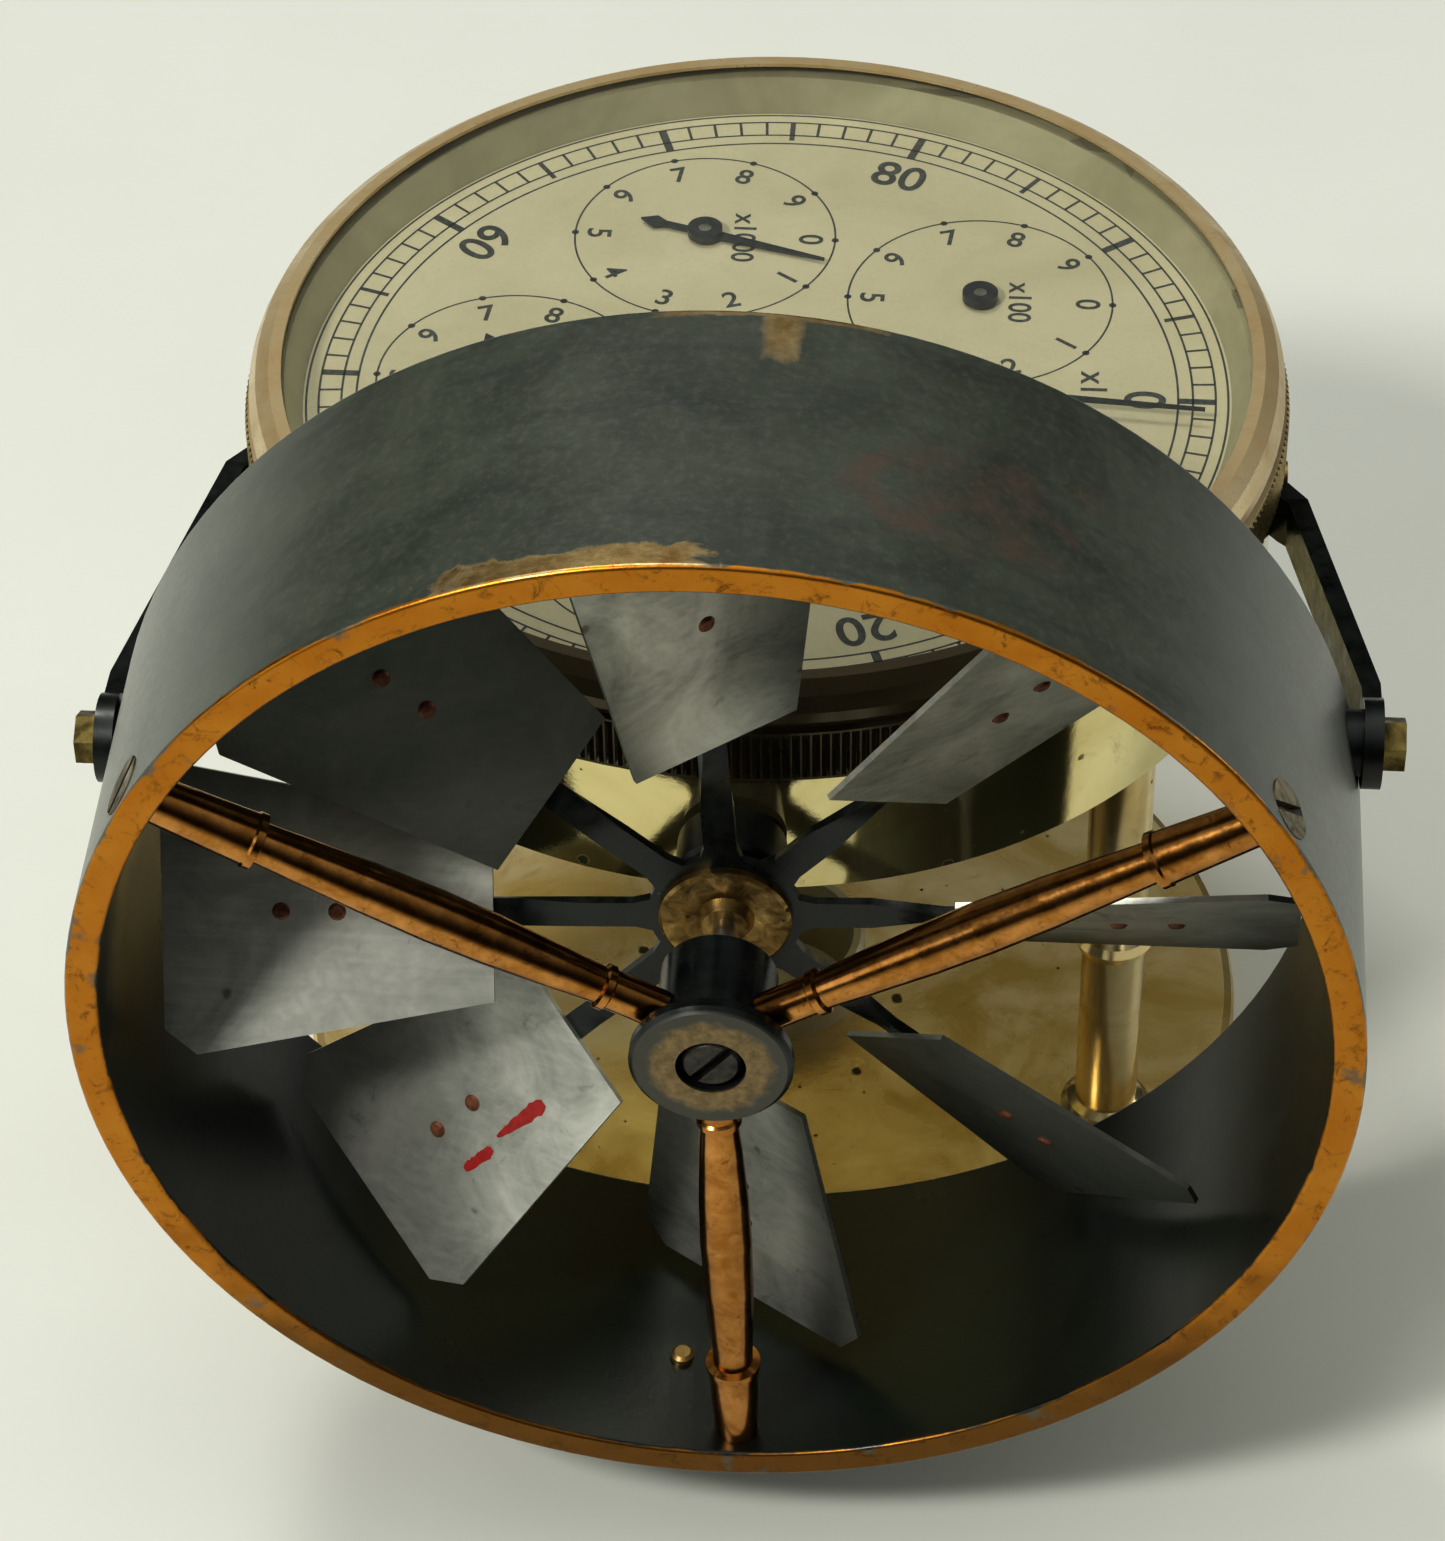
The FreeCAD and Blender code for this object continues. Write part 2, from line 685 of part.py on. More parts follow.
def base_plate():
    body = new_body("base_blank")
    rim = "base_dia / 2"
    revolve(body, [
        ("socket_dia / 2", "0"), (rim + " - 0.3", "0"), (rim, "0.3"), (rim, "base_thickness - 1.0"),
        (rim + " - 0.3", "base_thickness - 0.3"), (rim + " - 1.0", "base_thickness"),
        ("socket_dia / 2", "base_thickness"),
    ])
    sinks = []
    for angle in pillar_angles():
        x, y = on_circle("pillar_circle", angle)
        sinks.append(cylinder("foot_screw_drill", "1.3", "5", (x, y, "-1")))
        sinks.append(cylinder("foot_screw_sink", "2.6", "1.7", (x, y, "-0.5")))
    return keep(cut("base_plate", body, sinks), "base_plate")


def pole_socket():
    bore, outer = "socket_bore / 2", "socket_dia / 2"
    turned("pole_socket", [
        (bore, "0"), (outer, "0"), (outer, "socket_height - 0.4"), (outer + " - 0.4", "socket_height"),
        (bore, "socket_height"),
    ])


def base_pillars():
    """Three turned columns: a foot, a middle collar, and a stud through the case's floor."""
    shaft = "pillar_dia / 2"
    collar = "base_thickness + pillar_collar"
    corners = [
        ("0", "base_thickness + 5"), ("1.25", "base_thickness + 5"), ("1.25", "base_thickness"),
        ("4.2", "base_thickness"), ("4.2", "base_thickness + 1.0"), ("3.6", "base_thickness + 1.7"),
        (shaft, "base_thickness + 2.2"), (shaft, collar + " - 1.4"), ("3.5", collar + " - 0.9"),
        ("3.8", collar), ("3.5", collar + " + 0.9"), (shaft, collar + " + 1.4"),
        (shaft, "case_floor - 2.6"), ("3.6", "case_floor - 1.8"), ("3.9", "case_floor - 1.0"),
        ("3.9", "case_floor"), ("1.2", "case_floor"), ("1.2", "case_floor + 4.2"),
        ("0", "case_floor + 4.2"),
    ]
    columns = []
    for number, angle in enumerate(pillar_angles()):
        column = new_body(f"pillar_{number}")
        revolve(column, corners)
        x, y = on_circle("pillar_circle", angle)
        columns.append(place(column, x=x, y=y))
    keep(group("base_pillars", columns), "base_pillars")


def base_screws():
    screws = []
    for number, angle in enumerate(pillar_angles()):
        screw = new_body(f"base_screw_{number}")
        revolve(screw, [
            ("0", "0.3"), ("2.5", "0.3"), ("2.5", "1.2"), ("1.25", "1.2"), ("1.25", "7.6"), ("0", "7.6"),
        ])
        pocket = new_sketch(screw, "XY_Plane", Placement(Vector(0, 0, 0.3), Rotation(Vector(1, 0, 0), 180)))
        draw_polygon(pocket, [("-3", "-0.35"), ("3", "-0.35"), ("3", "0.35"), ("-3", "0.35")])
        slot = screw.newObject("PartDesign::Pocket", "base_screw_slot")
        slot.Profile = pocket
        slot.Length = 0.5
        x, y = on_circle("pillar_circle", angle)
        screws.append(place(screw, x=x, y=y))
    keep(group("base_screws", screws), "base_screws")


def pillar_nuts():
    nuts = []
    for number, angle in enumerate(pillar_angles()):
        x, y = on_circle("pillar_circle", angle)
        prism = DOC.addObject("Part::Prism", f"nut_prism_{number}")
        prism.Polygon = 6
        prism.Circumradius = 2.6
        prism.Height = 1.8
        place(prism, x=x, y=y, z="case_floor + floor_thickness")
        nuts.append(cut(f"nut_{number}", prism, [cylinder("nut_drill", "1.2", "4", (x, y, "case_floor"))]))
    keep(group("pillar_nuts", nuts), "pillar_nuts")


# ---------------------------------------------------------------- side arms


def lug_height(side):
    """The ring is turned a little in its mounting, so its right lug sits higher than the left."""
    return f"(lug_z + {side} * lug_rise)"


def foot_screw_angles():
    """The screws' places round the case: two at each side."""
    return 1.5, 7.5, 172.5, 178.5


def ring_saddle(name):
    """The space taken by the ring, which hollows the faces that sit on it."""
    return cylinder(name, "ring_outer_dia / 2", "ring_width / 2 + 25", ("0", "-ring_setback - 25", "axis_height"),
                    Vector(0, 1, 0))


def side_arm(name, side):
    """A flat strip from a lug on the ring to a thin foot that lies round the case's wall."""
    plan = new_body(name + "_plan")
    sketch = new_sketch(plan, "XY_Plane", Placement(Vector(0, 0, value("case_floor")), Rotation()))
    inner, outer = "lug_inside", "lug_inside + arm_sheet"
    height = lug_height(side)
    path = [
        (outer, "-47"), (outer, "-36.5"), ("47.9", "-5.0"), ("45.4", "-1.8"),
        ("44.1", "-3.3"), ("46.2", "-5.8"), (inner, "-37.2"), (inner, "-47"),
    ]
    draw_polygon(sketch, [(f"{side} * ({x})", y) for x, y in path])
    pad(plan, sketch, "22")
    profile = new_body(name + "_profile")
    half = "arm_width / 2"
    drawing = new_sketch(profile, "YZ_Plane")
    draw_polygon(drawing, [
        ("lug_y", f"{height} - {half}"), ("-5", "foot_z - " + half), ("10", "foot_z - " + half),
        ("10", "foot_z + " + half), ("-5", "foot_z + " + half), ("lug_y", f"{height} + {half}"),
    ])
    pad(profile, drawing, "120", midplane=True)
    lug = cylinder(name + "_lug", "lug_dia / 2", "120", ("-60", "lug_y", height), Vector(1, 0, 0))
    strip = DOC.addObject("Part::Common", name + "_strip")
    strip.Base = plan
    strip.Tool = join(name + "_outline", [profile, lug])
    foot = cylinder(name + "_foot", "case_dia / 2 + foot_sheet", "arm_width",
                    ("0", "0", "foot_z - arm_width / 2"))
    foot.Angle = 14
    start = -3.5 if side > 0 else 169.5
    foot.Placement = Placement(foot.Placement.Base, Rotation(Vector(0, 0, 1), start))
    drive(foot, "Placement.Base.z", "foot_z - arm_width / 2")
    tools = [
        cylinder(name + "_wall", "case_dia / 2", "30", ("0", "0", "case_floor - 2")),
        ring_saddle(name + "_saddle"),
        cylinder(name + "_bolt_drill", "arm_bolt_dia / 2 + 0.05", "12", (f"{side} * 50", "lug_y", height),
                 Vector(side, 0, 0)),
    ]
    for angle in foot_screw_angles():
        x, y = on_circle("42", angle)
        outward = Vector(math.cos(math.radians(angle)), math.sin(math.radians(angle)), 0)
        tools.append(cylinder(name + "_foot_drill", "0.75", "6", (x, y, "foot_z"), outward))
    keep(cut(name, join(name + "_blank", [strip, foot]), tools), name)


def arm_bolts():
    """Hexagon-headed bolts through each lug, tapped into the ring."""
    bolts = []
    for number, side in enumerate((-1, 1)):
        head = DOC.addObject("Part::Prism", f"bolt_head_{number}")
        head.Polygon = 6
        head.Circumradius = 2.3
        head.Height = 1.9
        outward = Rotation(Vector(0, 0, 1), Vector(side, 0, 0))
        place(head, outward, f"{side} * (lug_inside + arm_sheet)", "lug_y", lug_height(side))
        start = (f"{side} * 47.4", "lug_y", lug_height(side))
        shank = cylinder(f"bolt_shank_{number}", "arm_bolt_dia / 2", "6.6", start,
                         Vector(side, 0, 0))
        bolts.append(join(f"arm_bolt_{number}", [head, shank]))
    keep(group("arm_bolts", bolts), "arm_bolts")


def arm_spacers():
    """Round washers between each lug and the ring, hollowed to sit on it."""
    washers = []
    for number, side in enumerate((-1, 1)):
        height = lug_height(side)
        start = (f"{side} * 49", "lug_y", height)
        blank = cylinder(f"spacer_blank_{number}", "2.8", "lug_inside - 49", start, Vector(side, 0, 0))
        start = (f"{side} * 48", "lug_y", height)
        drill = cylinder(f"spacer_drill_{number}", "arm_bolt_dia / 2 + 0.05", "5", start,
                         Vector(side, 0, 0))
        washers.append(cut(f"spacer_{number}", blank, [drill, ring_saddle(f"spacer_saddle_{number}")]))
    keep(group("arm_spacers", washers), "arm_spacers")


def arm_foot_screws():
    screws = []
    for number, angle in enumerate(foot_screw_angles()):
        outward = Vector(math.cos(math.radians(angle)), math.sin(math.radians(angle)), 0)
        x, y = on_circle("42", angle)
        head_x, head_y = on_circle("(case_dia / 2 + foot_sheet)", angle)
        shank = cylinder(f"foot_shank_{number}", "0.75", "4.1", (x, y, "foot_z"), outward)
        head = cylinder(f"foot_head_{number}", "1.3", "0.4", (head_x, head_y, "foot_z"), outward)
        screws.append(join(f"foot_screw_{number}", [shank, head]))
    keep(group("arm_foot_screws", screws), "arm_foot_screws")


# ---------------------------------------------------------------- movement frame


def movement_plate(label, height, holes):
    """A round plate with (x, y, radius) holes."""
    body = new_body(label)
    sketch = new_sketch(body, "XY_Plane", Placement(Vector(0, 0, value(height)), Rotation()))
    draw_circle(sketch, "0", "0", "plate_dia / 2")
    for x, y, radius in holes:
        draw_circle(sketch, str(x), str(y), radius)
    pad(body, sketch, "plate_sheet")
    return keep(body, label)


def movement_plates():
    pivot = "arbor_dia / 2 + running_gap"
    centre = (0, 0, "centre_arbor_dia / 2 + running_gap")
    posts = [on_circle("post_circle", angle) + ("1.2",) for angle in (0, 120, 240)]
    arbors = [(x, y, pivot) for x, y in counter_places() + idler_places()]
    worm_x, worm_y = worm_arbor_place()
    movement_plate("lower_plate", "lower_plate", [centre, (worm_x, worm_y, pivot)] + arbors + posts)
    feet = [on_circle("post_circle", angle) + ("1",) for angle in (60, 180, 300)]
    movement_plate("upper_plate", "upper_plate", [centre] + arbors + posts + feet)


def movement_posts():
    """Three posts carry each plate: the lower ones stand on the floor, the upper ones on the lower plate."""
    posts = []
    low = [("0", "case_floor + 0.2"), ("1", "case_floor + 0.2"), ("1", "case_floor + floor_thickness"),
           ("2", "case_floor + floor_thickness"), ("2", "lower_plate"), ("1.2", "lower_plate"),
           ("1.2", "lower_plate + 0.45"), ("0", "lower_plate + 0.45")]
    high = [("0", "lower_plate + 0.5"), ("1.2", "lower_plate + 0.5"), ("1.2", "lower_plate + plate_sheet"),
            ("1.6", "lower_plate + plate_sheet"), ("1.6", "upper_plate"), ("1.2", "upper_plate"),
            ("1.2", "upper_plate + plate_sheet"), ("0", "upper_plate + plate_sheet")]
    for number, angle in enumerate((0, 120, 240)):
        for name, corners in (("low", low), ("high", high)):
            post = new_body(f"post_{name}_{number}")
            revolve(post, corners)
            x, y = on_circle("post_circle", angle)
            posts.append(place(post, x=x, y=y))
    keep(group("movement_posts", posts), "movement_posts")


def arbor_cock():
    """The block under the lower plate that holds the fan arbor's rear pivot."""
    block = DOC.addObject("Part::Box", "cock_blank")
    block.Length = 3.6
    block.Width = 2
    drive(block, "Height", "lower_plate - axis_height + 2.1")
    place(block, x="-1.8", y="39.2 - ring_setback - 1.7", z="axis_height - 2.1")
    start = ("0", "-19", "axis_height")
    hole = cylinder("cock_drill", "pivot_dia / 2 + running_gap", "6", start, Vector(0, 1, 0))
    keep(cut("arbor_cock", block, [hole]), "arbor_cock")


# ---------------------------------------------------------------- wheels and arbors


def gear_outline(module, teeth, facing, gap_faces):
    """Corners of a toothed outline. A tooth, or a gap if gap_faces, points along the facing angle."""
    pitch_radius = module * teeth / 2
    step = 2 * math.pi / teeth
    start = math.radians(facing) + (step / 2 if gap_faces else 0)
    flank = ((pitch_radius - 1.15 * module, -0.21), (pitch_radius + 0.8 * module, -0.09))
    flank += ((pitch_radius + 0.8 * module, 0.09), (pitch_radius - 1.15 * module, 0.21))
    corners = []
    for tooth in range(teeth):
        for radius, part_of_step in flank:
            angle = start + (tooth + part_of_step) * step
            corners.append(Vector(radius * math.cos(angle), radius * math.sin(angle), 0))
    return corners


def toothed_disc(module, teeth, low, high, facing, gap_faces=False):
    corners = gear_outline(module, teeth, facing, gap_faces)
    face = Part.Face(Part.makePolygon(corners + corners[:1]))
    face.translate(Vector(0, 0, low))
    return face.extrude(Vector(0, 0, high - low))


def rod(radius, low, high):
    return Part.makeCylinder(radius, high - low, Vector(0, 0, low))


def made_piece(label, shape, x, y):
    piece = DOC.addObject("Part::Feature", label)
    piece.Shape = shape
    piece.Placement = Placement(Vector(x, y, 0), Rotation())
    return keep(piece, label)


def bearing(start, end):
    """Direction in degrees from one arbor to another."""
    return math.degrees(math.atan2(end[1] - start[1], end[0] - start[0]))


def counter_places():
    radius = value("subdial_circle")
    angles = [math.radians(36 + 72 * stage) for stage in range(len(STAGES))]
    return [(radius * math.cos(angle), radius * math.sin(angle)) for angle in angles]


def idler_places():
    """Each idler meshes with the pinion before it and the counter wheel after it, on the outer side."""
    near = value("train_module * (train_leaves + idler_teeth) / 2")
    far = value("train_module * (train_leaves + counter_teeth) / 2")
    places = []
    before = (0.0, 0.0)
    for after in counter_places():
        span = math.dist(before, after)
        along = (near * near - far * far + span * span) / (2 * span)
        aside = math.sqrt(near * near - along * along)
        unit = ((after[0] - before[0]) / span, (after[1] - before[1]) / span)
        x = before[0] + along * unit[0] + aside * unit[1]
        y = before[1] + along * unit[1] - aside * unit[0]
        places.append((x, y))
        before = after
    return places


def level_height(level):
    return value("first_level") + level * value("level_step")


def worm_wheel_and_arbor():
    here = worm_arbor_place()
    axis = value("axis_height")
    shaft, pivot = value("centre_arbor_dia / 2"), value("pivot_dia / 2")
    wheel = toothed_disc(value("worm_module"), int(value("worm_teeth")), axis - 0.8, axis + 0.8, 0.0, True)
    made_piece("worm_wheel", wheel.cut(rod(shaft, 0, 100)), *here)
    arbor = rod(pivot, value("case_floor + 0.7"), value("case_floor + floor_thickness"))
    arbor = arbor.fuse([
        rod(shaft, value("case_floor + floor_thickness + 0.1"), value("lower_plate - 0.1")),
        rod(pivot, value("case_floor + floor_thickness"), value("case_floor + floor_thickness + 0.1")),
        rod(value("arbor_dia / 2"), value("lower_plate - 0.1"), value("lower_plate + plate_sheet")),
        toothed_disc(value("drive_module"), int(value("drive_leaves")), 60.6, 62.2, bearing(here, (0, 0))),
    ])
    made_piece("worm_wheel_arbor", arbor.removeSplitter(), *here)


def centre_wheel_and_arbor():
    """The arbor of the main hand: driven below the lower plate, driving the first idler above it."""
    shaft, pivot = value("centre_arbor_dia / 2"), value("pivot_dia / 2")
    floor = value("case_floor + floor_thickness")
    wheel = toothed_disc(value("drive_module"), int(value("drive_teeth")), 61.0, 61.8,
                         bearing((0, 0), worm_arbor_place()), True)
    made_piece("centre_wheel", wheel.cut(rod(shaft, 0, 100)), 0, 0)
    height = level_height(STAGE_LEVELS[0][0])
    arbor = rod(pivot, value("case_floor + 0.7"), floor + 0.1)
    arbor = arbor.fuse([
        rod(shaft, floor + 0.1, value("dial_top + 2.2")),
        toothed_disc(value("train_module"), int(value("train_leaves")), height - 0.5, height + 0.5,
                     bearing((0, 0), idler_places()[0])),
    ])
    made_piece("centre_arbor", arbor.removeSplitter(), 0, 0)


def counting_stage(stage):
    """An idler and a counter arbor, which together turn ten times slower than the arbor before."""
    name = STAGES[stage]
    idler, counter = idler_places()[stage], counter_places()[stage]
    before = counter_places()[stage - 1] if stage else (0.0, 0.0)
    module, leaves = value("train_module"), int(value("train_leaves"))
    radius, half = value("arbor_dia / 2"), value("wheel_sheet / 2")
    low, high = value("lower_plate"), value("upper_plate + plate_sheet")
    idler_height, counter_height = (level_height(level) for level in STAGE_LEVELS[stage])
    spindle = rod(radius, low, high)
    idler_pinion = toothed_disc(module, leaves, counter_height - 0.5, counter_height + 0.5,
                                bearing(idler, counter))
    idler_wheel = toothed_disc(module, int(value("idler_teeth")), idler_height - half, idler_height + half,
                               bearing(idler, before), True)
    solids = [spindle.fuse(idler_pinion).removeSplitter(), idler_wheel.cut(rod(radius, 0, 100))]
    made_piece(name + "_idler", Part.makeCompound(solids), *idler)
    counter_teeth = int(value("counter_teeth"))
    counter_wheel = toothed_disc(module, counter_teeth, counter_height - half, counter_height + half,
                                 bearing(counter, idler), True)
    made_piece(name + "_wheel", counter_wheel.cut(rod(radius, 0, 100)), *counter)
    arbor = rod(radius, low, value("dial_top + 1.0"))
    if stage + 1 < len(STAGES):
        height = level_height(STAGE_LEVELS[stage + 1][0])
        arbor = arbor.fuse(toothed_disc(module, leaves, height - 0.5, height + 0.5,
                                        bearing(counter, idler_places()[stage + 1]))).removeSplitter()
    made_piece(name + "_arbor", arbor, *counter)


# ---------------------------------------------------------------- hands


def hand(label, x, y, turn, reach, tail, width, height, bore):
    """A boss with a long tapering point and a lens-shaped tail, pushed on an arbor."""
    body = new_body(label)
    boss = new_sketch(body, "XY_Plane")
    draw_circle(boss, "0", "0", f"{width} * 1.6")
    draw_circle(boss, "0", "0", bore)
    pad(body, boss, "hand_sheet * 3")
    if reach:
        point = new_sketch(body, "XY_Plane")
        edge = f"{width} * 1.3"
        draw_polygon(point, [
            (edge, f"-{width} / 2"), (reach, f"-{width} / 8"), (reach, f"{width} / 8"),
            (edge, f"{width} / 2"),
        ])
        pad(body, point, "hand_sheet")
        back = new_sketch(body, "XY_Plane")
        draw_polygon(back, [
            (f"-{edge}", f"{width} / 3"), (f"-{tail} * 0.62", f"{width} / 3"),
            (f"-{tail} * 0.78", f"{width} * 0.8"),
            (f"-{tail}", "0"), (f"-{tail} * 0.78", f"-{width} * 0.8"), (f"-{tail} * 0.62", f"-{width} / 3"),
            (f"-{edge}", f"-{width} / 3"),
        ])
        pad(body, back, "hand_sheet")
    place(body, Rotation(Vector(0, 0, 1), turn), str(x), str(y), height)
    return keep(body, label)


def hands():
    hand("main_hand", 0, 0, value("main_hand_turn"), "main_hand_reach", "9", "1.3", "dial_top + 1.5",
         "centre_arbor_dia / 2")
    for stage, (x, y) in enumerate(counter_places()):
        reach = "small_hand_reach" if stage else None
        label = STAGES[stage] + ("_hand" if stage else "_hand_boss")
        hand(label, x, y, SMALL_HAND_TURNS[stage], reach, "6.3", "1.0", "dial_top + 0.3", "arbor_dia / 2")


# ---------------------------------------------------------------- build, check and write


def build():
    for make in (
        fan_ring, ring_stop_screw, ring_struts, strut_screws, front_hub, bearing_screw,
        fan_arbor, fan_worm, fan_boss, fan_spider, fan_vanes, vane_rivets, rear_sleeve, rear_bush,
        case_drum, bezel, dial_glass, rehaut_ring, dial_plate,
        base_plate, pole_socket, base_pillars, base_screws, pillar_nuts,
        arm_bolts, arm_spacers, arm_foot_screws, movement_plates, movement_posts, arbor_cock,
        worm_wheel_and_arbor, centre_wheel_and_arbor, hands,
    ):
        make()
    side_arm("left_arm", -1)
    side_arm("right_arm", 1)
    for stage in range(len(STAGES)):
        counting_stage(stage)
    DOC.recompute()


def check():
    for item in DOC.Objects:
        if "Invalid" in item.State or "Error" in item.State:
            raise RuntimeError(f"{item.Label} did not recompute: {item.State}")
    for piece in PIECES:
        if piece.Shape.isNull() or not piece.Shape.isValid() or not piece.Shape.Solids:
            raise RuntimeError(f"{piece.Label} has no valid shape")


def write():
    os.makedirs("parts", exist_ok=True)
    for piece in PIECES:
        piece.Shape.exportStep(os.path.join("parts", piece.Label + ".step"))


build()
check()
write()
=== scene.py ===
import json
import math
import random

import bpy
from mathutils import Matrix, Vector


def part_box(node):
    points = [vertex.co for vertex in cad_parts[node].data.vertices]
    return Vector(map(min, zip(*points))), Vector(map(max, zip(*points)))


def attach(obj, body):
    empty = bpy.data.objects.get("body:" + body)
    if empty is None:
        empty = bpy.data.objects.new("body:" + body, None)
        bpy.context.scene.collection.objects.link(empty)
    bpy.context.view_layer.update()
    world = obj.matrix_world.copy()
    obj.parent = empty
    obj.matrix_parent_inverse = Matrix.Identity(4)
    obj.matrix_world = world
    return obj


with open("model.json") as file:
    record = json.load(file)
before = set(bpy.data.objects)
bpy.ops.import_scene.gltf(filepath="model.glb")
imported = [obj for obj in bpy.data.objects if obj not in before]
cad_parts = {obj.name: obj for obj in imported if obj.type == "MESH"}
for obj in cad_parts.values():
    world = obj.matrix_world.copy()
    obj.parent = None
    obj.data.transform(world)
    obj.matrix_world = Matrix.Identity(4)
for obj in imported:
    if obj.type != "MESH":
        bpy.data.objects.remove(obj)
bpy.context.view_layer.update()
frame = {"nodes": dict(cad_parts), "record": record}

MM = 0.001
NODES = frame["nodes"]
RECORD = frame["record"]
CASE = "frame_and_case"
STAGES = ("hundreds", "thousands", "ten_thousands", "hundred_thousands", "millions")


def joint_of(name):
    return next(joint for joint in RECORD["behaviour"]["joints"] if joint["name"] == name)


# ---------------------------------------------------------------- sizes read from the frame

ring_low, ring_high = (Vector(corner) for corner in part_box("fan_ring"))
FAN_CENTRE = Vector(joint_of("fan_spin")["pos_m"])
FAN_CENTRE.y = (ring_low.y + ring_high.y) / 2
RING_RADIUS = ring_high.z - FAN_CENTRE.z
RING_HALF_WIDTH = (ring_high.y - ring_low.y) / 2
DIAL_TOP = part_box("dial_plate")[1][2]
BEZEL_LOW, BEZEL_HIGH = (Vector(corner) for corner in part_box("bezel"))
BEZEL_RADIUS = BEZEL_HIGH.x

RING_BORE = RING_RADIUS - 2.7 * MM


class Surface:
    """A node material written as expressions: each call adds a node and returns its output.
    Patterns use the object's own coordinates, in metres, so they stay put when a body turns."""

    def __init__(self, name):
        self.material = bpy.data.materials.new(name)
        self.material.use_nodes = True
        self.tree = self.material.node_tree
        self.shader = self.tree.nodes["Principled BSDF"]
        self.place = self.tree.nodes.new("ShaderNodeTexCoord").outputs["Object"]

    def feed(self, socket, value):
        if isinstance(value, bpy.types.NodeSocket):
            self.tree.links.new(value, socket)
        elif isinstance(value, tuple) and len(value) == 3 and socket.type == "RGBA":
            socket.default_value = (*value, 1.0)
        else:
            socket.default_value = value

    def add(self, kind, output, values):
        node = self.tree.nodes.new(kind)
        for socket, value in values.items():
            self.feed(node.inputs[socket], value)
        return node.outputs[output]

    def math(self, operation, *values):
        node = self.tree.nodes.new("ShaderNodeMath")
        node.operation = operation
        for socket, value in zip(node.inputs, values):
            self.feed(socket, value)
        return node.outputs[0]

    def axes(self):
        """The X, Y and Z of the pattern's coordinates."""
        node = self.tree.nodes.new("ShaderNodeSeparateXYZ")
        self.feed(node.inputs[0], self.place)
        return node.outputs

    def edge_on(self, power):
        """Rises from 0 to 1 where the surface turns away from the viewer."""
        facing = self.add("ShaderNodeLayerWeight", "Facing", {"Blend": 0.5})
        return self.math("POWER", facing, power)

    def stretched(self, scale):
        """Coordinates stretched unevenly, for streaks."""
        return self.add("ShaderNodeMapping", "Vector", {"Vector": self.place, "Scale": scale})

    def noise(self, size, detail=4.0, roughness=0.55, twist=0.0, place=None):
        """Cloudy pattern, 0 to 1, whose features are about size metres wide."""
        values = {"Vector": place or self.place, "Scale": 1 / size, "Detail": detail,
                  "Roughness": roughness, "Distortion": twist}
        return self.add("ShaderNodeTexNoise", 0, values)

    def spots(self, spacing, radius):
        """1 inside scattered round spots. The radius is a share of the spacing."""
        wobble = self.math("MULTIPLY", self.noise(spacing * 0.4), 0.25)
        values = {"Vector": self.place, "Scale": 1 / spacing}
        distance = self.add("ShaderNodeTexVoronoi", "Distance", values)
        return self.ramp(self.math("ADD", distance, wobble), radius + 0.14, radius + 0.10)

    def ramp(self, value, low, high, start=0.0, end=1.0):
        """Runs from start to end as value goes from low to high."""
        node = self.tree.nodes.new("ShaderNodeMapRange")
        for socket, number in zip(node.inputs, (value, low, high, start, end)):
            self.feed(socket, number)
        return node.outputs[0]

    def mix(self, factor, first, second):
        node = self.tree.nodes.new("ShaderNodeMix")
        node.data_type = "RGBA"
        self.feed(node.inputs[0], factor)
        self.feed(node.inputs[6], first)
        self.feed(node.inputs[7], second)
        return node.outputs[2]

    def between(self, factor, first, second):
        """As mix, for numbers."""
        node = self.tree.nodes.new("ShaderNodeMix")
        sockets = (node.inputs[0], node.inputs[2], node.inputs[3])
        for socket, value in zip(sockets, (factor, first, second)):
            self.feed(socket, value)
        return node.outputs[0]

    def finish(self, colour, roughness, metallic=0.0, height=None, depth=0.00002, **others):
        """Fills in the shader. The height pattern becomes a bump of the given depth."""
        self.feed(self.shader.inputs["Base Color"], colour)
        self.feed(self.shader.inputs["Roughness"], roughness)
        self.feed(self.shader.inputs["Metallic"], metallic)
        if height is not None:
            values = {"Strength": 0.6, "Distance": depth, "Height": height}
            normal = self.add("ShaderNodeBump", "Normal", values)
            self.feed(self.shader.inputs["Normal"], normal)
        for socket, value in others.items():
            self.feed(self.shader.inputs[socket.replace("_", " ")], value)
        return self.material


# ---------------------------------------------------------------- materials

BARE_BRASS = ((0.44, 0.165, 0.016), (0.52, 0.225, 0.030))
WORN_BRASS = ((0.36, 0.22, 0.080), (0.66, 0.50, 0.24))
DARK_STAIN = (0.045, 0.028, 0.012)
BROWN_STAIN = (0.085, 0.050, 0.018)
RUST = (0.090, 0.050, 0.036)
# A painted sheen: the paler colour of the ring's outside at its edges.
EDGE_SHEEN = (0.30, 0.31, 0.27)

# Patches on the ring's outside, in mm: middle (across, forward), half size, softness of the edge.
RUST_PATCHES = (((14.5, 3.0), (4.5, 5.0), 0.35), ((23.5, 1.5), (4.5, 5.5), 0.35))
WORN_PATCHES = (((-9.5, 15.0), (8.5, 2.1), 0.12), ((4.0, -15.6), (6.5, 0.9), 0.3),
                ((4.2, -12.8), (1.2, 2.8), 0.5))

# The way from the fan's axis along the two vanes that carry painted shade.
SHADED_VANES_WAY = (-0.741, 0.672)


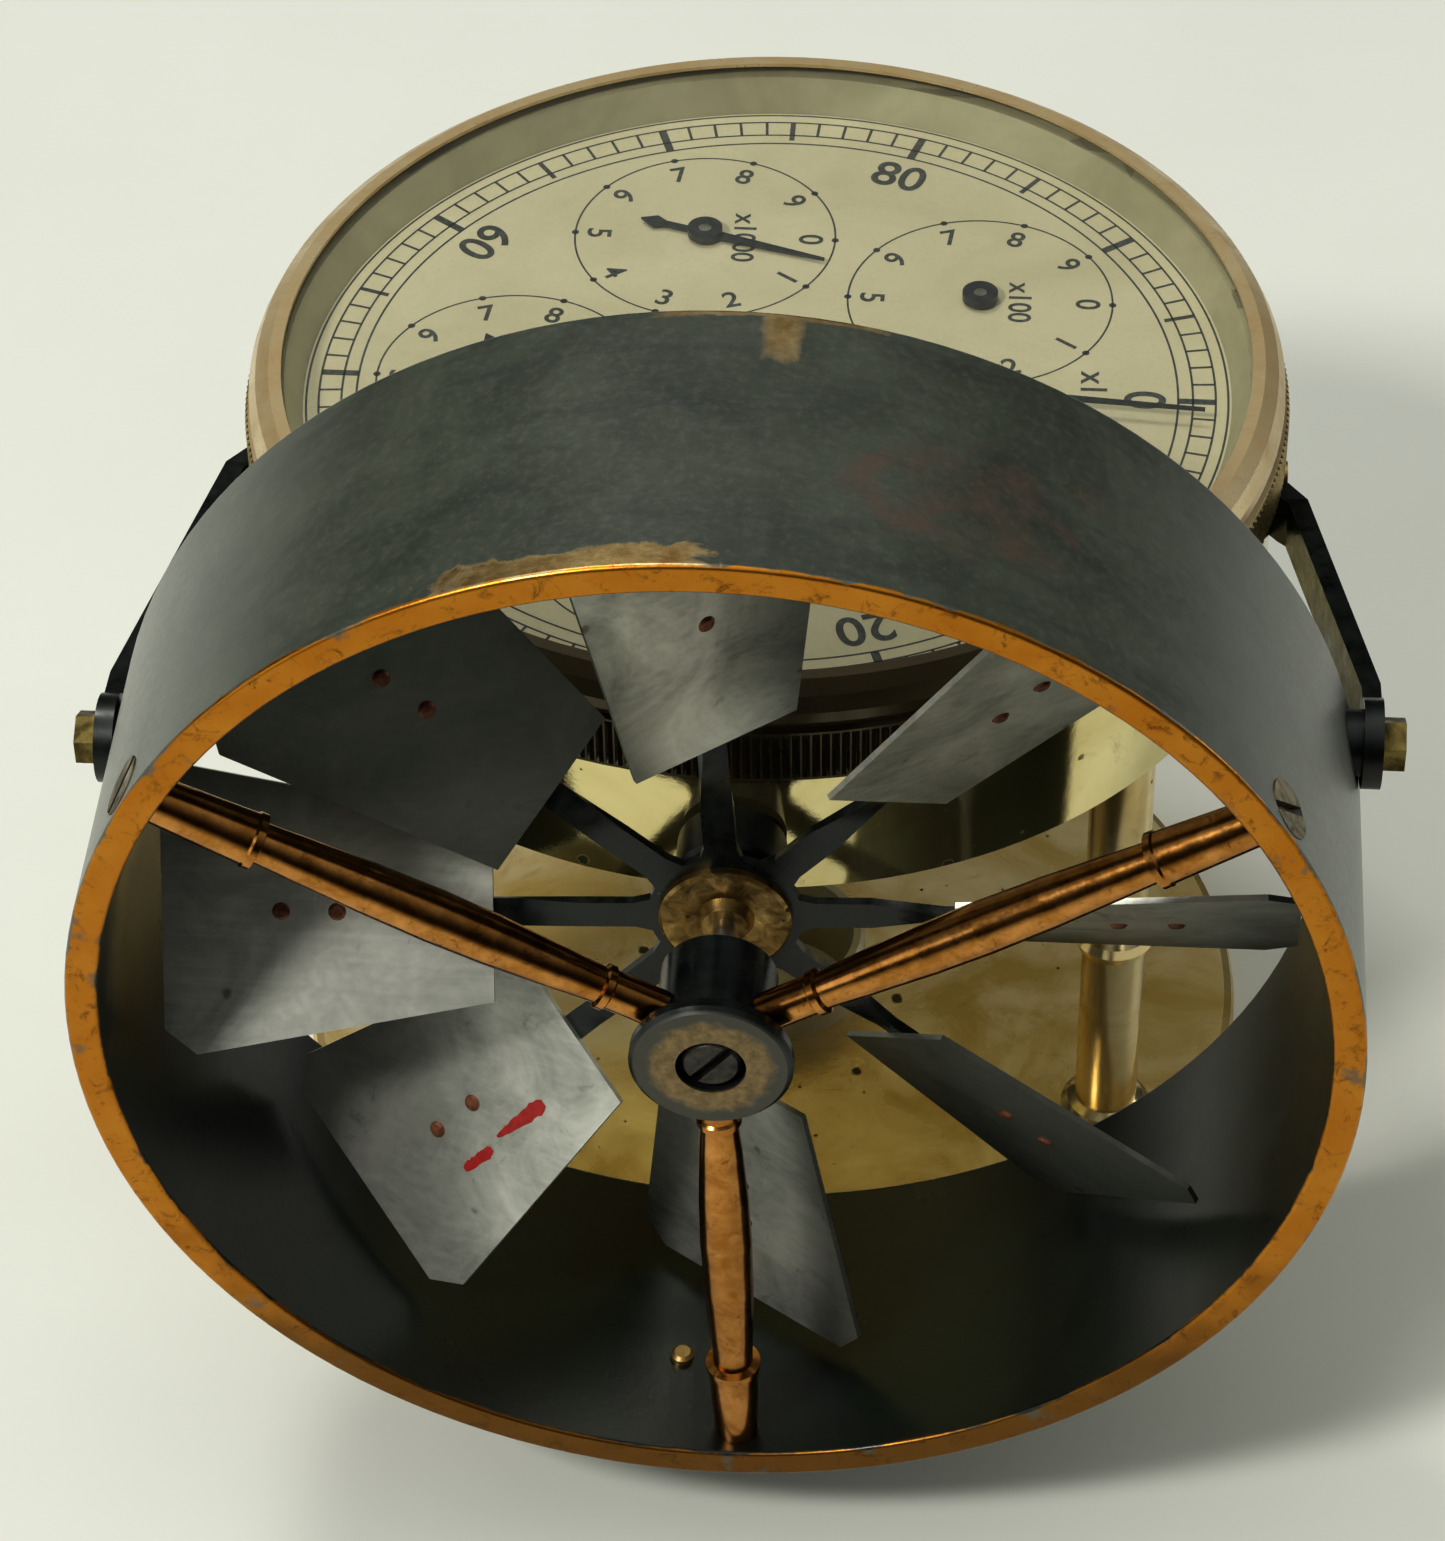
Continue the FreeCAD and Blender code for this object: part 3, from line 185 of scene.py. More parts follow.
def fan_place(surface):
    """X, the height over the fan's axis, the distance from the axis, and the distance in front of
    the ring's middle."""
    x, y, z = surface.axes()
    rise = surface.math("SUBTRACT", z, FAN_CENTRE.z)
    squares = [surface.math("MULTIPLY", part, part) for part in (x, rise)]
    radius = surface.math("SQRT", surface.math("ADD", *squares))
    front = surface.math("SUBTRACT", FAN_CENTRE.y, y)
    return x, rise, radius, front


def blob(surface, x, front, centre, half_size, edge, wobble):
    """1 inside a ragged patch of the ring's outside."""
    far = []
    for place, middle, half in zip((x, front), centre, half_size):
        away = surface.math("ABSOLUTE", surface.math("SUBTRACT", place, middle * MM))
        far.append(surface.math("DIVIDE", away, half * MM))
    farthest = surface.math("ADD", surface.math("MAXIMUM", *far), wobble)
    return surface.ramp(farthest, 1.0 + edge, 1.0 - edge)


def patches(surface, x, front, table, wobble):
    """1 inside any of the patches."""
    covered = blob(surface, x, front, *table[0], wobble)
    for patch in table[1:]:
        covered = surface.math("MAXIMUM", covered, blob(surface, x, front, *patch, wobble))
    return covered


def ring_outside(s, x, rise, front, fine):
    """The outside's colour, with a painted sheen where it turns away from the viewer, and how much
    of it is worn to bare brass.
    """
    cloud = s.noise(9 * MM, 5, 0.6, 0.6)
    streaks = s.noise(5 * MM, 4, 0.6, 0.3, s.stretched((0.35, 2.2, 1.0)))
    colour = s.mix(s.ramp(cloud, 0.32, 0.68), (0.024, 0.031, 0.021), (0.054, 0.063, 0.045))
    colour = s.mix(s.ramp(streaks, 0.52, 0.75, 0.0, 0.6), colour, (0.016, 0.022, 0.018))
    colour = s.mix(s.ramp(fine, 0.5, 0.85, 0.0, 0.35), colour, (0.11, 0.11, 0.08))
    ragged = s.ramp(s.noise(6 * MM, 5, 0.7, 0.8), 0.2, 0.8, -0.55, 0.55)
    rusty = s.ramp(s.noise(5 * MM, 5, 0.6, 0.5), 0.44, 0.70)
    rust_area = s.math("MULTIPLY", patches(s, x, front, RUST_PATCHES, ragged), 0.8)
    colour = s.mix(s.math("MULTIPLY", rusty, rust_area), colour, RUST)
    above = s.ramp(rise, 20 * MM, 30 * MM)
    worn = s.math("MULTIPLY", patches(s, x, front, WORN_PATCHES, ragged), above)
    colour = s.mix(worn, colour, s.mix(s.ramp(s.noise(3 * MM, 5, 0.65), 0.35, 0.7), *WORN_BRASS))
    # Painted sheen: paler where the outside turns away from the viewer.
    return s.mix(s.math("MULTIPLY", s.edge_on(4.0), 0.6), colour, EDGE_SHEEN), worn


def ring_rim(s, rise, specks):
    """Bare brass with dark specks, stained brown low down."""
    colour = s.mix(s.ramp(s.noise(7 * MM, 5, 0.6), 0.35, 0.7), *BARE_BRASS)
    colour = s.mix(s.math("MULTIPLY", specks, 0.75), colour, DARK_STAIN)
    uneven = s.ramp(s.noise(14 * MM, 3), 0.2, 0.8, -12 * MM, 12 * MM)
    low = s.ramp(s.math("ADD", rise, uneven), -22 * MM, -36 * MM)
    return s.mix(s.math("MULTIPLY", low, 0.72), colour, BROWN_STAIN)


def blackened_ring():
    """Blackened brass: stained outside, darker inside, worn to bare metal on the front rim."""
    s = Surface("blackened_ring")
    x, rise, radius, front = fan_place(s)
    fine = s.noise(0.8 * MM, 4, 0.7)
    outside, worn = ring_outside(s, x, rise, front, fine)
    inner_cloud = s.noise(12 * MM, 5, 0.6, 0.5)
    inner = s.mix(s.ramp(inner_cloud, 0.35, 0.7), (0.001, 0.003, 0.002), (0.004, 0.009, 0.005))
    inner = s.mix(s.spots(5 * MM, 0.07), inner, (0.002, 0.004, 0.003))
    inside = s.ramp(radius, RING_BORE + 0.35 * MM, RING_BORE + 0.15 * MM)
    edge = s.ramp(s.noise(4 * MM, 4, 0.6), 0.3, 0.75, -0.25 * MM, 0.28 * MM)
    ahead = s.math("ADD", front, edge)
    rim = s.ramp(ahead, RING_HALF_WIDTH - 0.30 * MM, RING_HALF_WIDTH - 0.16 * MM)
    back = s.math("SUBTRACT", edge, front)
    rear_edge = s.ramp(back, RING_HALF_WIDTH + 0.02 * MM, RING_HALF_WIDTH + 0.1 * MM)
    specks = s.ramp(s.noise(1.8 * MM, 6, 0.8, 0.8), 0.54, 0.70)
    colour = s.mix(inside, outside, inner)
    colour = s.mix(s.math("MAXIMUM", rim, rear_edge), colour, ring_rim(s, rise, specks))
    rough = s.ramp(fine, 0.2, 0.9, 0.30, 0.46)
    rough = s.between(inside, rough, s.ramp(inner_cloud, 0.3, 0.8, 0.26, 0.38))
    rough = s.between(rim, rough, s.ramp(specks, 0, 1, 0.34, 0.6))
    metal = s.math("MAXIMUM", worn, rim)
    index = s.between(inside, 1.75, 1.5)
    return s.finish(colour, rough, metal, fine, 0.00003, IOR=index)


def rubbed_face(s, colour):
    """A turned front face that is dull, and rubbed to bare brass around its middle."""
    _, _, radius, front = fan_place(s)
    ragged = s.ramp(s.noise(1.2 * MM, 4, 0.6), 0.2, 0.8, -0.5 * MM, 0.5 * MM)
    face = s.ramp(front, 15.9 * MM, 16.1 * MM)
    band = s.ramp(s.math("ADD", radius, ragged), 5.3 * MM, 4.5 * MM)
    patchy = s.ramp(s.noise(0.9 * MM, 5, 0.7), 0.35, 0.7)
    bare = s.mix(patchy, (0.15, 0.11, 0.055), (0.34, 0.24, 0.12))
    rubbed = s.math("MULTIPLY", s.math("MULTIPLY", face, band), 0.9)
    dull = s.mix(s.math("MULTIPLY", face, 0.7), colour, (0.085, 0.082, 0.065))
    return s.mix(rubbed, dull, bare), face, rubbed


def blackened(name, gloss=0.3, worn_face=False):
    """Plain blackened brass, with a rubbed front face if worn_face."""
    s = Surface(name)
    cloud = s.noise(3 * MM, 5, 0.65)
    colour = s.mix(s.ramp(cloud, 0.35, 0.7), (0.006, 0.009, 0.008), (0.026, 0.029, 0.027))
    metal = 0.5
    rough = s.ramp(cloud, 0.3, 0.7, gloss * 0.8, gloss * 1.4)
    if worn_face:
        colour, face, rubbed = rubbed_face(s, colour)
        rough = s.between(face, rough, 0.45)
        metal = s.ramp(rubbed, 0, 1, 0.4, 0.9)
    return s.finish(colour, rough, metal, s.noise(0.5 * MM, 3), 0.00001)


def darker_front(s, colour, cloud):
    """Painted shade: near black towards the fan, where the ring shades the part."""
    uneven = s.ramp(cloud, 0.3, 0.7, -4 * MM, 4 * MM)
    front = s.ramp(s.math("ADD", s.axes()["Y"], uneven), -26 * MM, -36 * MM)
    return s.mix(s.math("MULTIPLY", front, 0.88), colour, (0.030, 0.024, 0.010))


def brass(name, pale, deep, spot_share=0.0, roughness=0.26, stain_size=16.0, metallic=0.94,
          shade_front=False):
    """Polished brass, clouded, spotted and stained, with painted shade towards the fan if asked.
    The stain size is in mm.
    """
    s = Surface(name)
    cloud = s.noise(stain_size * MM, 6, 0.6, 0.8)
    grain = s.noise(0.6 * MM, 4, 0.7)
    colour = s.mix(s.ramp(cloud, 0.34, 0.66), pale, deep)
    brown = s.ramp(s.noise(stain_size * 0.45 * MM, 6, 0.7, 1.4), 0.60, 0.78)
    colour = s.mix(s.math("MULTIPLY", brown, 0.6), colour, tuple(c * 0.42 for c in deep))
    rough = s.ramp(cloud, 0.3, 0.7, roughness * 0.75, roughness * 1.5)
    if spot_share:
        large, small = s.spots(5.5 * MM, spot_share), s.spots(2.6 * MM, spot_share * 0.5)
        spots = s.math("MAXIMUM", large, small)
        colour = s.mix(s.math("MULTIPLY", spots, 0.9), colour, (0.030, 0.032, 0.016))
        rough = s.between(spots, rough, 0.7)
    # Painted shade towards the fan, where the ring shades the part.
    if shade_front:
        colour = darker_front(s, colour, cloud)
    return s.finish(colour, rough, metallic, grain, 0.000012)


def copper_struts():
    s = Surface("copper_struts")
    streak = s.noise(2.2 * MM, 5, 0.65, 0.5)
    fine = s.noise(0.5 * MM, 4, 0.7)
    colour = s.mix(s.ramp(streak, 0.36, 0.66), (0.34, 0.145, 0.028), (0.56, 0.27, 0.080))
    dark = s.ramp(s.noise(1.4 * MM, 5, 0.75, 1.0), 0.58, 0.70)
    colour = s.mix(s.math("MULTIPLY", dark, 0.75), colour, (0.075, 0.030, 0.016))
    return s.finish(colour, s.ramp(fine, 0.3, 0.8, 0.15, 0.25), 1.0, fine, 0.000006)


def black_paint():
    s = Surface("black_paint")
    cloud = s.noise(2.5 * MM, 5, 0.65)
    chips = s.ramp(s.noise(1.3 * MM, 5, 0.8, 0.6), 0.70, 0.74)
    colour = s.mix(s.ramp(cloud, 0.35, 0.7), (0.003, 0.005, 0.004), (0.014, 0.017, 0.015))
    colour = s.mix(s.math("MULTIPLY", chips, 0.6), colour, (0.30, 0.31, 0.28))
    return s.finish(colour, s.ramp(cloud, 0.3, 0.7, 0.22, 0.42), 0.25, cloud, 0.00002)


def blued_steel():
    s = Surface("blued_steel")
    cloud = s.noise(1.0 * MM, 4, 0.6)
    colour = s.mix(s.ramp(cloud, 0.3, 0.7), (0.016, 0.020, 0.028), (0.055, 0.062, 0.070))
    return s.finish(colour, 0.34, 0.7, cloud, 0.000008)


def plain_steel():
    s = Surface("plain_steel")
    cloud = s.noise(1.6 * MM, 5, 0.65)
    colour = s.mix(s.ramp(cloud, 0.35, 0.7), (0.24, 0.22, 0.19), (0.46, 0.44, 0.40))
    return s.finish(colour, s.ramp(cloud, 0.3, 0.7, 0.22, 0.4), 0.95, cloud, 0.00001)


def dark_screw():
    """The bearing screw: grey steel, its colour darkened with the painted shade of its recess."""
    s = Surface("dark_screw")
    cloud = s.noise(1.2 * MM, 5, 0.65)
    colour = s.mix(s.ramp(cloud, 0.35, 0.7), (0.025, 0.024, 0.020), (0.085, 0.080, 0.070))
    return s.finish(colour, s.ramp(cloud, 0.3, 0.7, 0.30, 0.5), 0.85, cloud, 0.00001)


def vane_aluminium():
    """Thin rolled sheet: brushed, clouded with grey stains, with painted shade darkening two
    opposite vanes.
    """
    s = Surface("vane_aluminium")
    brushed = s.noise(1.0 * MM, 4, 0.6, 0.0, s.stretched((0.12, 1.0, 1.6)))
    cloud = s.noise(9 * MM, 6, 0.62, 0.9)
    fine = s.noise(0.9 * MM, 5, 0.75)
    colour = s.mix(s.ramp(cloud, 0.33, 0.66), (0.32, 0.33, 0.29), (0.66, 0.66, 0.59))
    colour = s.mix(s.ramp(brushed, 0.45, 0.8, 0.0, 0.3), colour, (0.80, 0.80, 0.74))
    stains = s.ramp(s.noise(6 * MM, 6, 0.75, 1.3), 0.60, 0.72)
    colour = s.mix(s.math("MULTIPLY", stains, 0.55), colour, (0.12, 0.13, 0.11))
    colour = s.mix(s.math("MULTIPLY", s.spots(7 * MM, 0.05), 0.7), colour, (0.16, 0.085, 0.045))
    x, rise, radius, _ = fan_place(s)
    # Painted shade: the two vanes along this way are darkened, as if the ring shaded them.
    parts = [s.math("MULTIPLY", part, way) for part, way in zip((x, rise), SHADED_VANES_WAY)]
    share = s.math("POWER", s.math("DIVIDE", s.math("ADD", *parts), radius), 2.0)
    colour = s.mix(s.ramp(share, 0.62, 0.75, 0.0, 0.66), colour, (0.065, 0.080, 0.060))
    rough = s.math("ADD", s.ramp(cloud, 0.3, 0.7, 0.48, 0.36), s.ramp(fine, 0.4, 0.9, 0.0, 0.10))
    return s.finish(colour, rough, 0.85, brushed, 0.000008)


def rivet_rust():
    s = Surface("rivet_rust")
    cloud = s.noise(0.7 * MM, 4, 0.7)
    colour = s.mix(s.ramp(cloud, 0.35, 0.65), (0.085, 0.026, 0.016), (0.26, 0.105, 0.050))
    return s.finish(colour, 0.5, 0.45, cloud, 0.00003)


def red_paint():
    s = Surface("red_paint")
    cloud = s.noise(0.8 * MM, 4, 0.7)
    colour = s.mix(s.ramp(cloud, 0.3, 0.7), (0.22, 0.004, 0.004), (0.42, 0.014, 0.010))
    return s.finish(colour, 0.42, 0.0, cloud, 0.00004)


def silvered_dial():
    s = Surface("silvered_dial")
    cloud = s.noise(14 * MM, 6, 0.6, 0.6)
    fine = s.noise(0.35 * MM, 4, 0.75)
    colour = s.mix(s.ramp(cloud, 0.33, 0.66), (0.52, 0.455, 0.315), (0.61, 0.54, 0.39))
    colour = s.mix(s.ramp(fine, 0.5, 0.85, 0.0, 0.35), colour, (0.30, 0.27, 0.18))
    specks = s.ramp(s.noise(2.4 * MM, 6, 0.8, 0.8), 0.70, 0.76)
    colour = s.mix(s.math("MULTIPLY", specks, 0.35), colour, (0.22, 0.18, 0.10))
    return s.finish(colour, s.ramp(fine, 0.3, 0.8, 0.45, 0.62), 0.1, fine, 0.000006)


def rehaut_brass():
    s = Surface("rehaut_brass")
    cloud = s.noise(10 * MM, 5, 0.6, 0.6)
    fine = s.noise(0.5 * MM, 4, 0.7)
    colour = s.mix(s.ramp(cloud, 0.34, 0.66), (0.38, 0.345, 0.22), (0.50, 0.455, 0.31))
    return s.finish(colour, s.ramp(fine, 0.3, 0.8, 0.40, 0.55), 0.3, fine, 0.000008)


def ink():
    """Engraved lines filled with dark wax, a little uneven."""
    s = Surface("dial_ink")
    cloud = s.noise(0.5 * MM, 4, 0.7)
    colour = s.mix(s.ramp(cloud, 0.45, 0.75), (0.020, 0.024, 0.026), (0.085, 0.088, 0.080))
    return s.finish(colour, 0.55)


def clear_glass():
    """Flat glass that lets light through without refraction, with a faint reflection and haze."""
    s = Surface("clear_glass")
    haze = s.ramp(s.noise(20 * MM, 5, 0.6), 0.3, 0.8, 0.004, 0.02)
    mirror = s.math("ADD", s.math("MULTIPLY", s.edge_on(3.0), 0.3), haze)
    through = s.add("ShaderNodeBsdfTransparent", "BSDF", {"Color": (0.95, 0.96, 0.93)})
    s.finish((0.75, 0.75, 0.70), 0.06)
    blend = s.tree.nodes.new("ShaderNodeMixShader")
    for socket, value in zip(blend.inputs, (mirror, through, s.shader.outputs[0])):
        s.feed(socket, value)
    s.feed(s.tree.nodes["Material Output"].inputs["Surface"], blend.outputs[0])
    return s.material


FINISHES = {
    "blackened_brass": blackened("blackened_brass"),
    "bright_brass": brass("bright_brass", (0.55, 0.40, 0.17), (0.40, 0.26, 0.09), 0.0, 0.3, 5.0),
    "copper_bronze": copper_struts(),
    "lacquered_brass": brass("lacquered_brass", (0.70, 0.55, 0.26), (0.52, 0.35, 0.10), 0.10, 0.15),
    "dull_brass": rehaut_brass(),
    "steel": plain_steel(),
    "black_steel": black_paint(),
    "blued_steel": blued_steel(),
    "stained_aluminium": vane_aluminium(),
    "rivet_copper": rivet_rust(),
    "silvered_dial": silvered_dial(),
    "dial_glass": clear_glass(),
}
OWN_FINISHES = {
    "fan_ring": blackened_ring(),
    "front_hub": blackened("hub_black", 0.24, worn_face=True),
    "bearing_screw": dark_screw(),
    "fan_boss": brass("boss_brass", (0.42, 0.28, 0.10), (0.10, 0.062, 0.020), 0.14, 0.30, 1.6),
    "base_plate": brass("base_brass", (0.80, 0.66, 0.36), (0.50, 0.34, 0.09), 0.10, 0.22,
                        12.0, 0.7),
    "base_pillars": brass("pillar_brass", (0.78, 0.65, 0.38), (0.60, 0.45, 0.20), 0.06, 0.16,
                          8.0, 0.85),
    "case_drum": brass("drum_brass", (0.80, 0.72, 0.40), (0.64, 0.53, 0.24), 0.10, 0.06),
    # The bezel's brass has painted shade towards the fan.
    "bezel": brass("bezel_brass", (0.62, 0.50, 0.29), (0.48, 0.34, 0.17), 0.0, 0.30,
                   7.0, 0.5, True),
    "arm_bolts": brass("bolt_brass", (0.20, 0.15, 0.05), (0.06, 0.045, 0.015), 0.0, 0.40, 2.0),
    "strut_screws": brass("screw_brass", (0.22, 0.18, 0.10), (0.08, 0.07, 0.045), 0.0, 0.42, 2.0),
}


def dress(obj, material):
    obj.data.materials.clear()
    obj.data.materials.append(material)


def dress_nodes():
    for row in RECORD["subparts"]:
        node = row["node"]
        dress(NODES[node], OWN_FINISHES.get(node, FINISHES[row["material_slot"]]))


# ---------------------------------------------------------------- mesh helpers


def make_piece(name, verts, faces, material, body):
    mesh = bpy.data.meshes.new(name)
    mesh.from_pydata([tuple(v) for v in verts], [], faces)
    mesh.validate()
    mesh.update()
    piece = bpy.data.objects.new(name, mesh)
    bpy.context.scene.collection.objects.link(piece)
    dress(piece, material)
    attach(piece, body)


class Print:
    """Flat printed shapes gathered into one mesh, a hair above the dial."""

    def __init__(self, height):
        self.height = height
        self.verts = []
        self.faces = []

    def polygon(self, points):
        start = len(self.verts)
        self.verts += [Vector((x, y, self.height)) for x, y in points]
        self.faces.append(tuple(range(start, start + len(points))))

    def circle(self, centre, radius, width, steps=180):
        """A drawn circle: a thin flat ring."""
        start = len(self.verts)
        for step in range(steps):
            angle = 2 * math.pi * step / steps
            for reach in (radius - width / 2, radius + width / 2):
                spot = (centre[0] + reach * math.cos(angle), centre[1] + reach * math.sin(angle))
                self.verts.append(Vector((*spot, self.height)))
        for step in range(steps):
            here, there = start + 2 * step, start + 2 * ((step + 1) % steps)
            self.faces.append((here, here + 1, there + 1, there))

    def dot(self, centre, radius, steps=12):
        angles = [2 * math.pi * step / steps for step in range(steps)]
        spots = [(radius * math.cos(angle), radius * math.sin(angle)) for angle in angles]
        self.polygon([(centre[0] + x, centre[1] + y) for x, y in spots])

    def tick(self, centre, angle, inner, outer, width):
        """A straight radial stroke."""
        along = Vector((math.cos(angle), math.sin(angle)))
        side = Vector((-along.y, along.x)) * (width / 2)
        middle = Vector(centre)
        ends = (middle + along * inner - side, middle + along * outer - side,
                middle + along * outer + side, middle + along * inner + side)
        self.polygon(ends)

    def text(self, words, centre, up_angle, height):
        """Text centred on a point, its top pointing along up_angle."""
        verts, faces = glyphs(words)
        turn = Matrix.Rotation(up_angle - math.pi / 2, 2)
        start = len(self.verts)
        middle = sum((Vector(v) for v in bounds_of(verts)), Vector((0, 0))) / 2
        for vert in verts:
            spot = turn @ ((vert - middle) * height) + Vector(centre)
            self.verts.append(Vector((*spot, self.height)))
        self.faces += [tuple(start + index for index in face) for face in faces]

    def piece(self, name, material):
        make_piece(name, self.verts, self.faces, material, CASE)


def bounds_of(points):
    xs = [p.x for p in points]
    ys = [p.y for p in points]
    return (min(xs), min(ys)), (max(xs), max(ys))


GLYPH_CACHE = {}
CAP_HEIGHT = 0.73
GLYPH_WEIGHT = 0.022


def glyphs(words):
    """Flat outlines of text whose capitals are 1 high."""
    if words not in GLYPH_CACHE:
        curve = bpy.data.curves.new("glyphs", "FONT")
        curve.body = words
        curve.offset = GLYPH_WEIGHT
        curve.size = 1 / CAP_HEIGHT
        curve.fill_mode = "BOTH"
        curve.resolution_u = 6
        holder = bpy.data.objects.new("glyphs", curve)
        bpy.context.scene.collection.objects.link(holder)
        bpy.context.view_layer.update()
        flat = holder.evaluated_get(bpy.context.evaluated_depsgraph_get()).to_mesh()
        verts = [Vector((v.co.x, v.co.y)) for v in flat.vertices]
        faces = [tuple(p.vertices) for p in flat.polygons]
        GLYPH_CACHE[words] = (verts, faces)
        bpy.data.objects.remove(holder)
        bpy.data.curves.remove(curve)
    return GLYPH_CACHE[words]


# ---------------------------------------------------------------- dial

PRINT_HEIGHT = DIAL_TOP + 0.012 * MM
SCALE_OUTER = 39.5 * MM
SCALE_INNER = 37.5 * MM
INNER_CIRCLE = 36.2 * MM
EDGE_CIRCLE = 40.6 * MM
NUMERAL_RADIUS = 33.3 * MM
SUBDIAL_RADIUS = 11.9 * MM
SUBDIAL_DIGITS = 9.7 * MM
LABEL_OFFSET = 3.6 * MM
CIRCLE_WIDTH = 0.20 * MM
SUBDIAL_CIRCLE_WIDTH = 0.18 * MM
NUMERAL_HEIGHT, DIGIT_HEIGHT = 3.7 * MM, 2.25 * MM
DOT_RADIUS = 0.34 * MM
TEN_MARK, FIVE_MARK, UNIT_MARK = 0.75 * MM, 0.48 * MM, 0.27 * MM


def print_main_scale(dial):
    centre = (0.0, 0.0)
    for radius in (EDGE_CIRCLE, SCALE_OUTER, SCALE_INNER, INNER_CIRCLE):
        dial.circle(centre, radius, CIRCLE_WIDTH, 360)
    for mark in range(100):
        angle = -2 * math.pi * mark / 100
        if mark % 10 == 0:
            dial.tick(centre, angle, INNER_CIRCLE, SCALE_OUTER, TEN_MARK)
        elif mark % 5 == 0:
            dial.tick(centre, angle, SCALE_INNER - 0.8 * MM, SCALE_OUTER, FIVE_MARK)
        else:
            dial.tick(centre, angle, SCALE_INNER, SCALE_OUTER, UNIT_MARK)
    for value in (0, 20, 40, 60, 80):
        angle = -2 * math.pi * value / 100
        spot = (NUMERAL_RADIUS * math.cos(angle), NUMERAL_RADIUS * math.sin(angle))
        up = angle if value in (0, 20, 80) else angle + math.pi
        dial.text(str(value), spot, up, NUMERAL_HEIGHT)
    dial.text("x1", (28.8 * MM, 2.4 * MM), 0.0, 2.4 * MM)


def print_subdial(dial, centre, power):
    """One small dial. Its label is the power of ten that it counts."""
    dial.circle(centre, SUBDIAL_RADIUS, SUBDIAL_CIRCLE_WIDTH, 120)
    for digit in range(10):
        angle = -2 * math.pi * digit / 10
        along = Vector((math.cos(angle), math.sin(angle)))
        dial.dot(Vector(centre) + along * SUBDIAL_RADIUS, DOT_RADIUS)
        up = angle if digit in (7, 8, 9, 0) else angle + math.pi
        dial.text(str(digit), Vector(centre) + along * SUBDIAL_DIGITS, up, DIGIT_HEIGHT)
    label = "x1" + "0" * power
    height = min(2.1, 11.5 / len(label)) * MM
    dial.text(label, Vector(centre) + Vector((LABEL_OFFSET, 0)), 0.0, height)


def print_dial():
    dial = Print(PRINT_HEIGHT)
    print_main_scale(dial)
    for stage, name in enumerate(STAGES):
        centre = joint_of(name + "_hand_turn")["pos_m"][:2]
        print_subdial(dial, centre, stage + 2)
    dial.piece("dial_printing", ink())


# ---------------------------------------------------------------- coin edge and paint marks


COIN_RIBS = 350


def coin_edge():
    """Fine upright ribs around the bezel's band, each a small pointed ridge with sloping ends."""
    low, high = BEZEL_LOW.z + 0.25 * MM, BEZEL_LOW.z + 5.0 * MM
    root, tip = BEZEL_RADIUS - 0.05 * MM, BEZEL_RADIUS + 0.26 * MM
    half = math.pi / COIN_RIBS * 0.92
    verts, faces = [], []
    for rib in range(COIN_RIBS):
        angle = 2 * math.pi * rib / COIN_RIBS
        start = len(verts)
        outline = ((-half, root, low), (half, root, low), (half, root, high), (-half, root, high),
                   (0.0, tip, low + 0.25 * MM), (0.0, tip, high - 0.25 * MM))
        for turn, reach, height in outline:
            verts.append((reach * math.cos(angle + turn), reach * math.sin(angle + turn), height))
        corners = ((0, 1, 4), (1, 2, 5, 4), (2, 3, 5), (3, 0, 4, 5), (3, 2, 1, 0))
        faces += [tuple(start + corner for corner in face) for face in corners]
    # Its brass has painted shade towards the fan.
    material = brass("knurl_brass", (0.42, 0.33, 0.17), (0.16, 0.12, 0.05), 0.0, 0.24, 5.0, 0.8,
                     True)
    make_piece("bezel_coin_edge", verts, faces, material, CASE)


VANE_PITCH = math.radians(35.65)
FIRST_VANE = 2.8
VANE_STEP = 45
SPIDER_BEHIND = 1.55 * MM
VANE_FACE = 0.9 * MM
PAINT_THICKNESS = 0.04 * MM
MARKED_VANE = 5


def vane_matrix(number):
    """The frame of one vane: X outward along its arm, Y across it, Z out of its front face."""
    about_axis = math.radians(FIRST_VANE + VANE_STEP * number)
    forward = Matrix.Rotation(math.pi / 2, 4, "X")
    spider = Matrix.Translation((0, 0, -SPIDER_BEHIND))
    place = Matrix.Translation(FAN_CENTRE) @ forward @ Matrix.Rotation(about_axis, 4, "Z") @ spider
    return place @ Matrix.Rotation(VANE_PITCH, 4, "X")


def paint_mark(name, start, end, widths, material, seed):
    """A ragged brush stroke on a vane's front face, in mm, its width changing along it."""
    rng = random.Random(seed)
    along = Vector(end) - Vector(start)
    side = Vector((-along.y, along.x)).normalized()
    steps = 14
    upper, lower = [], []
    for step in range(steps + 1):
        share = step / steps
        body = min(1.0, 5.0 * min(share, 1 - share) + 0.45)
        half = (widths[0] + (widths[1] - widths[0]) * share) / 2 * body
        middle = Vector(start) + along * share
        upper.append(middle + side * half * rng.uniform(0.8, 1.12))
        lower.append(middle - side * half * rng.uniform(0.8, 1.12))
    outline = [point * MM for point in upper + lower[::-1]]
    matrix = vane_matrix(MARKED_VANE)
    count = len(outline)
    layers = (VANE_FACE, VANE_FACE + PAINT_THICKNESS)
    verts = [matrix @ Vector((*point, layer)) for layer in layers for point in outline]
    faces = [tuple(range(count, 2 * count)), tuple(range(count - 1, -1, -1))]
    faces += [(k, (k + 1) % count, count + (k + 1) % count, count + k) for k in range(count)]
    make_piece(name, verts, faces, material, "fan")


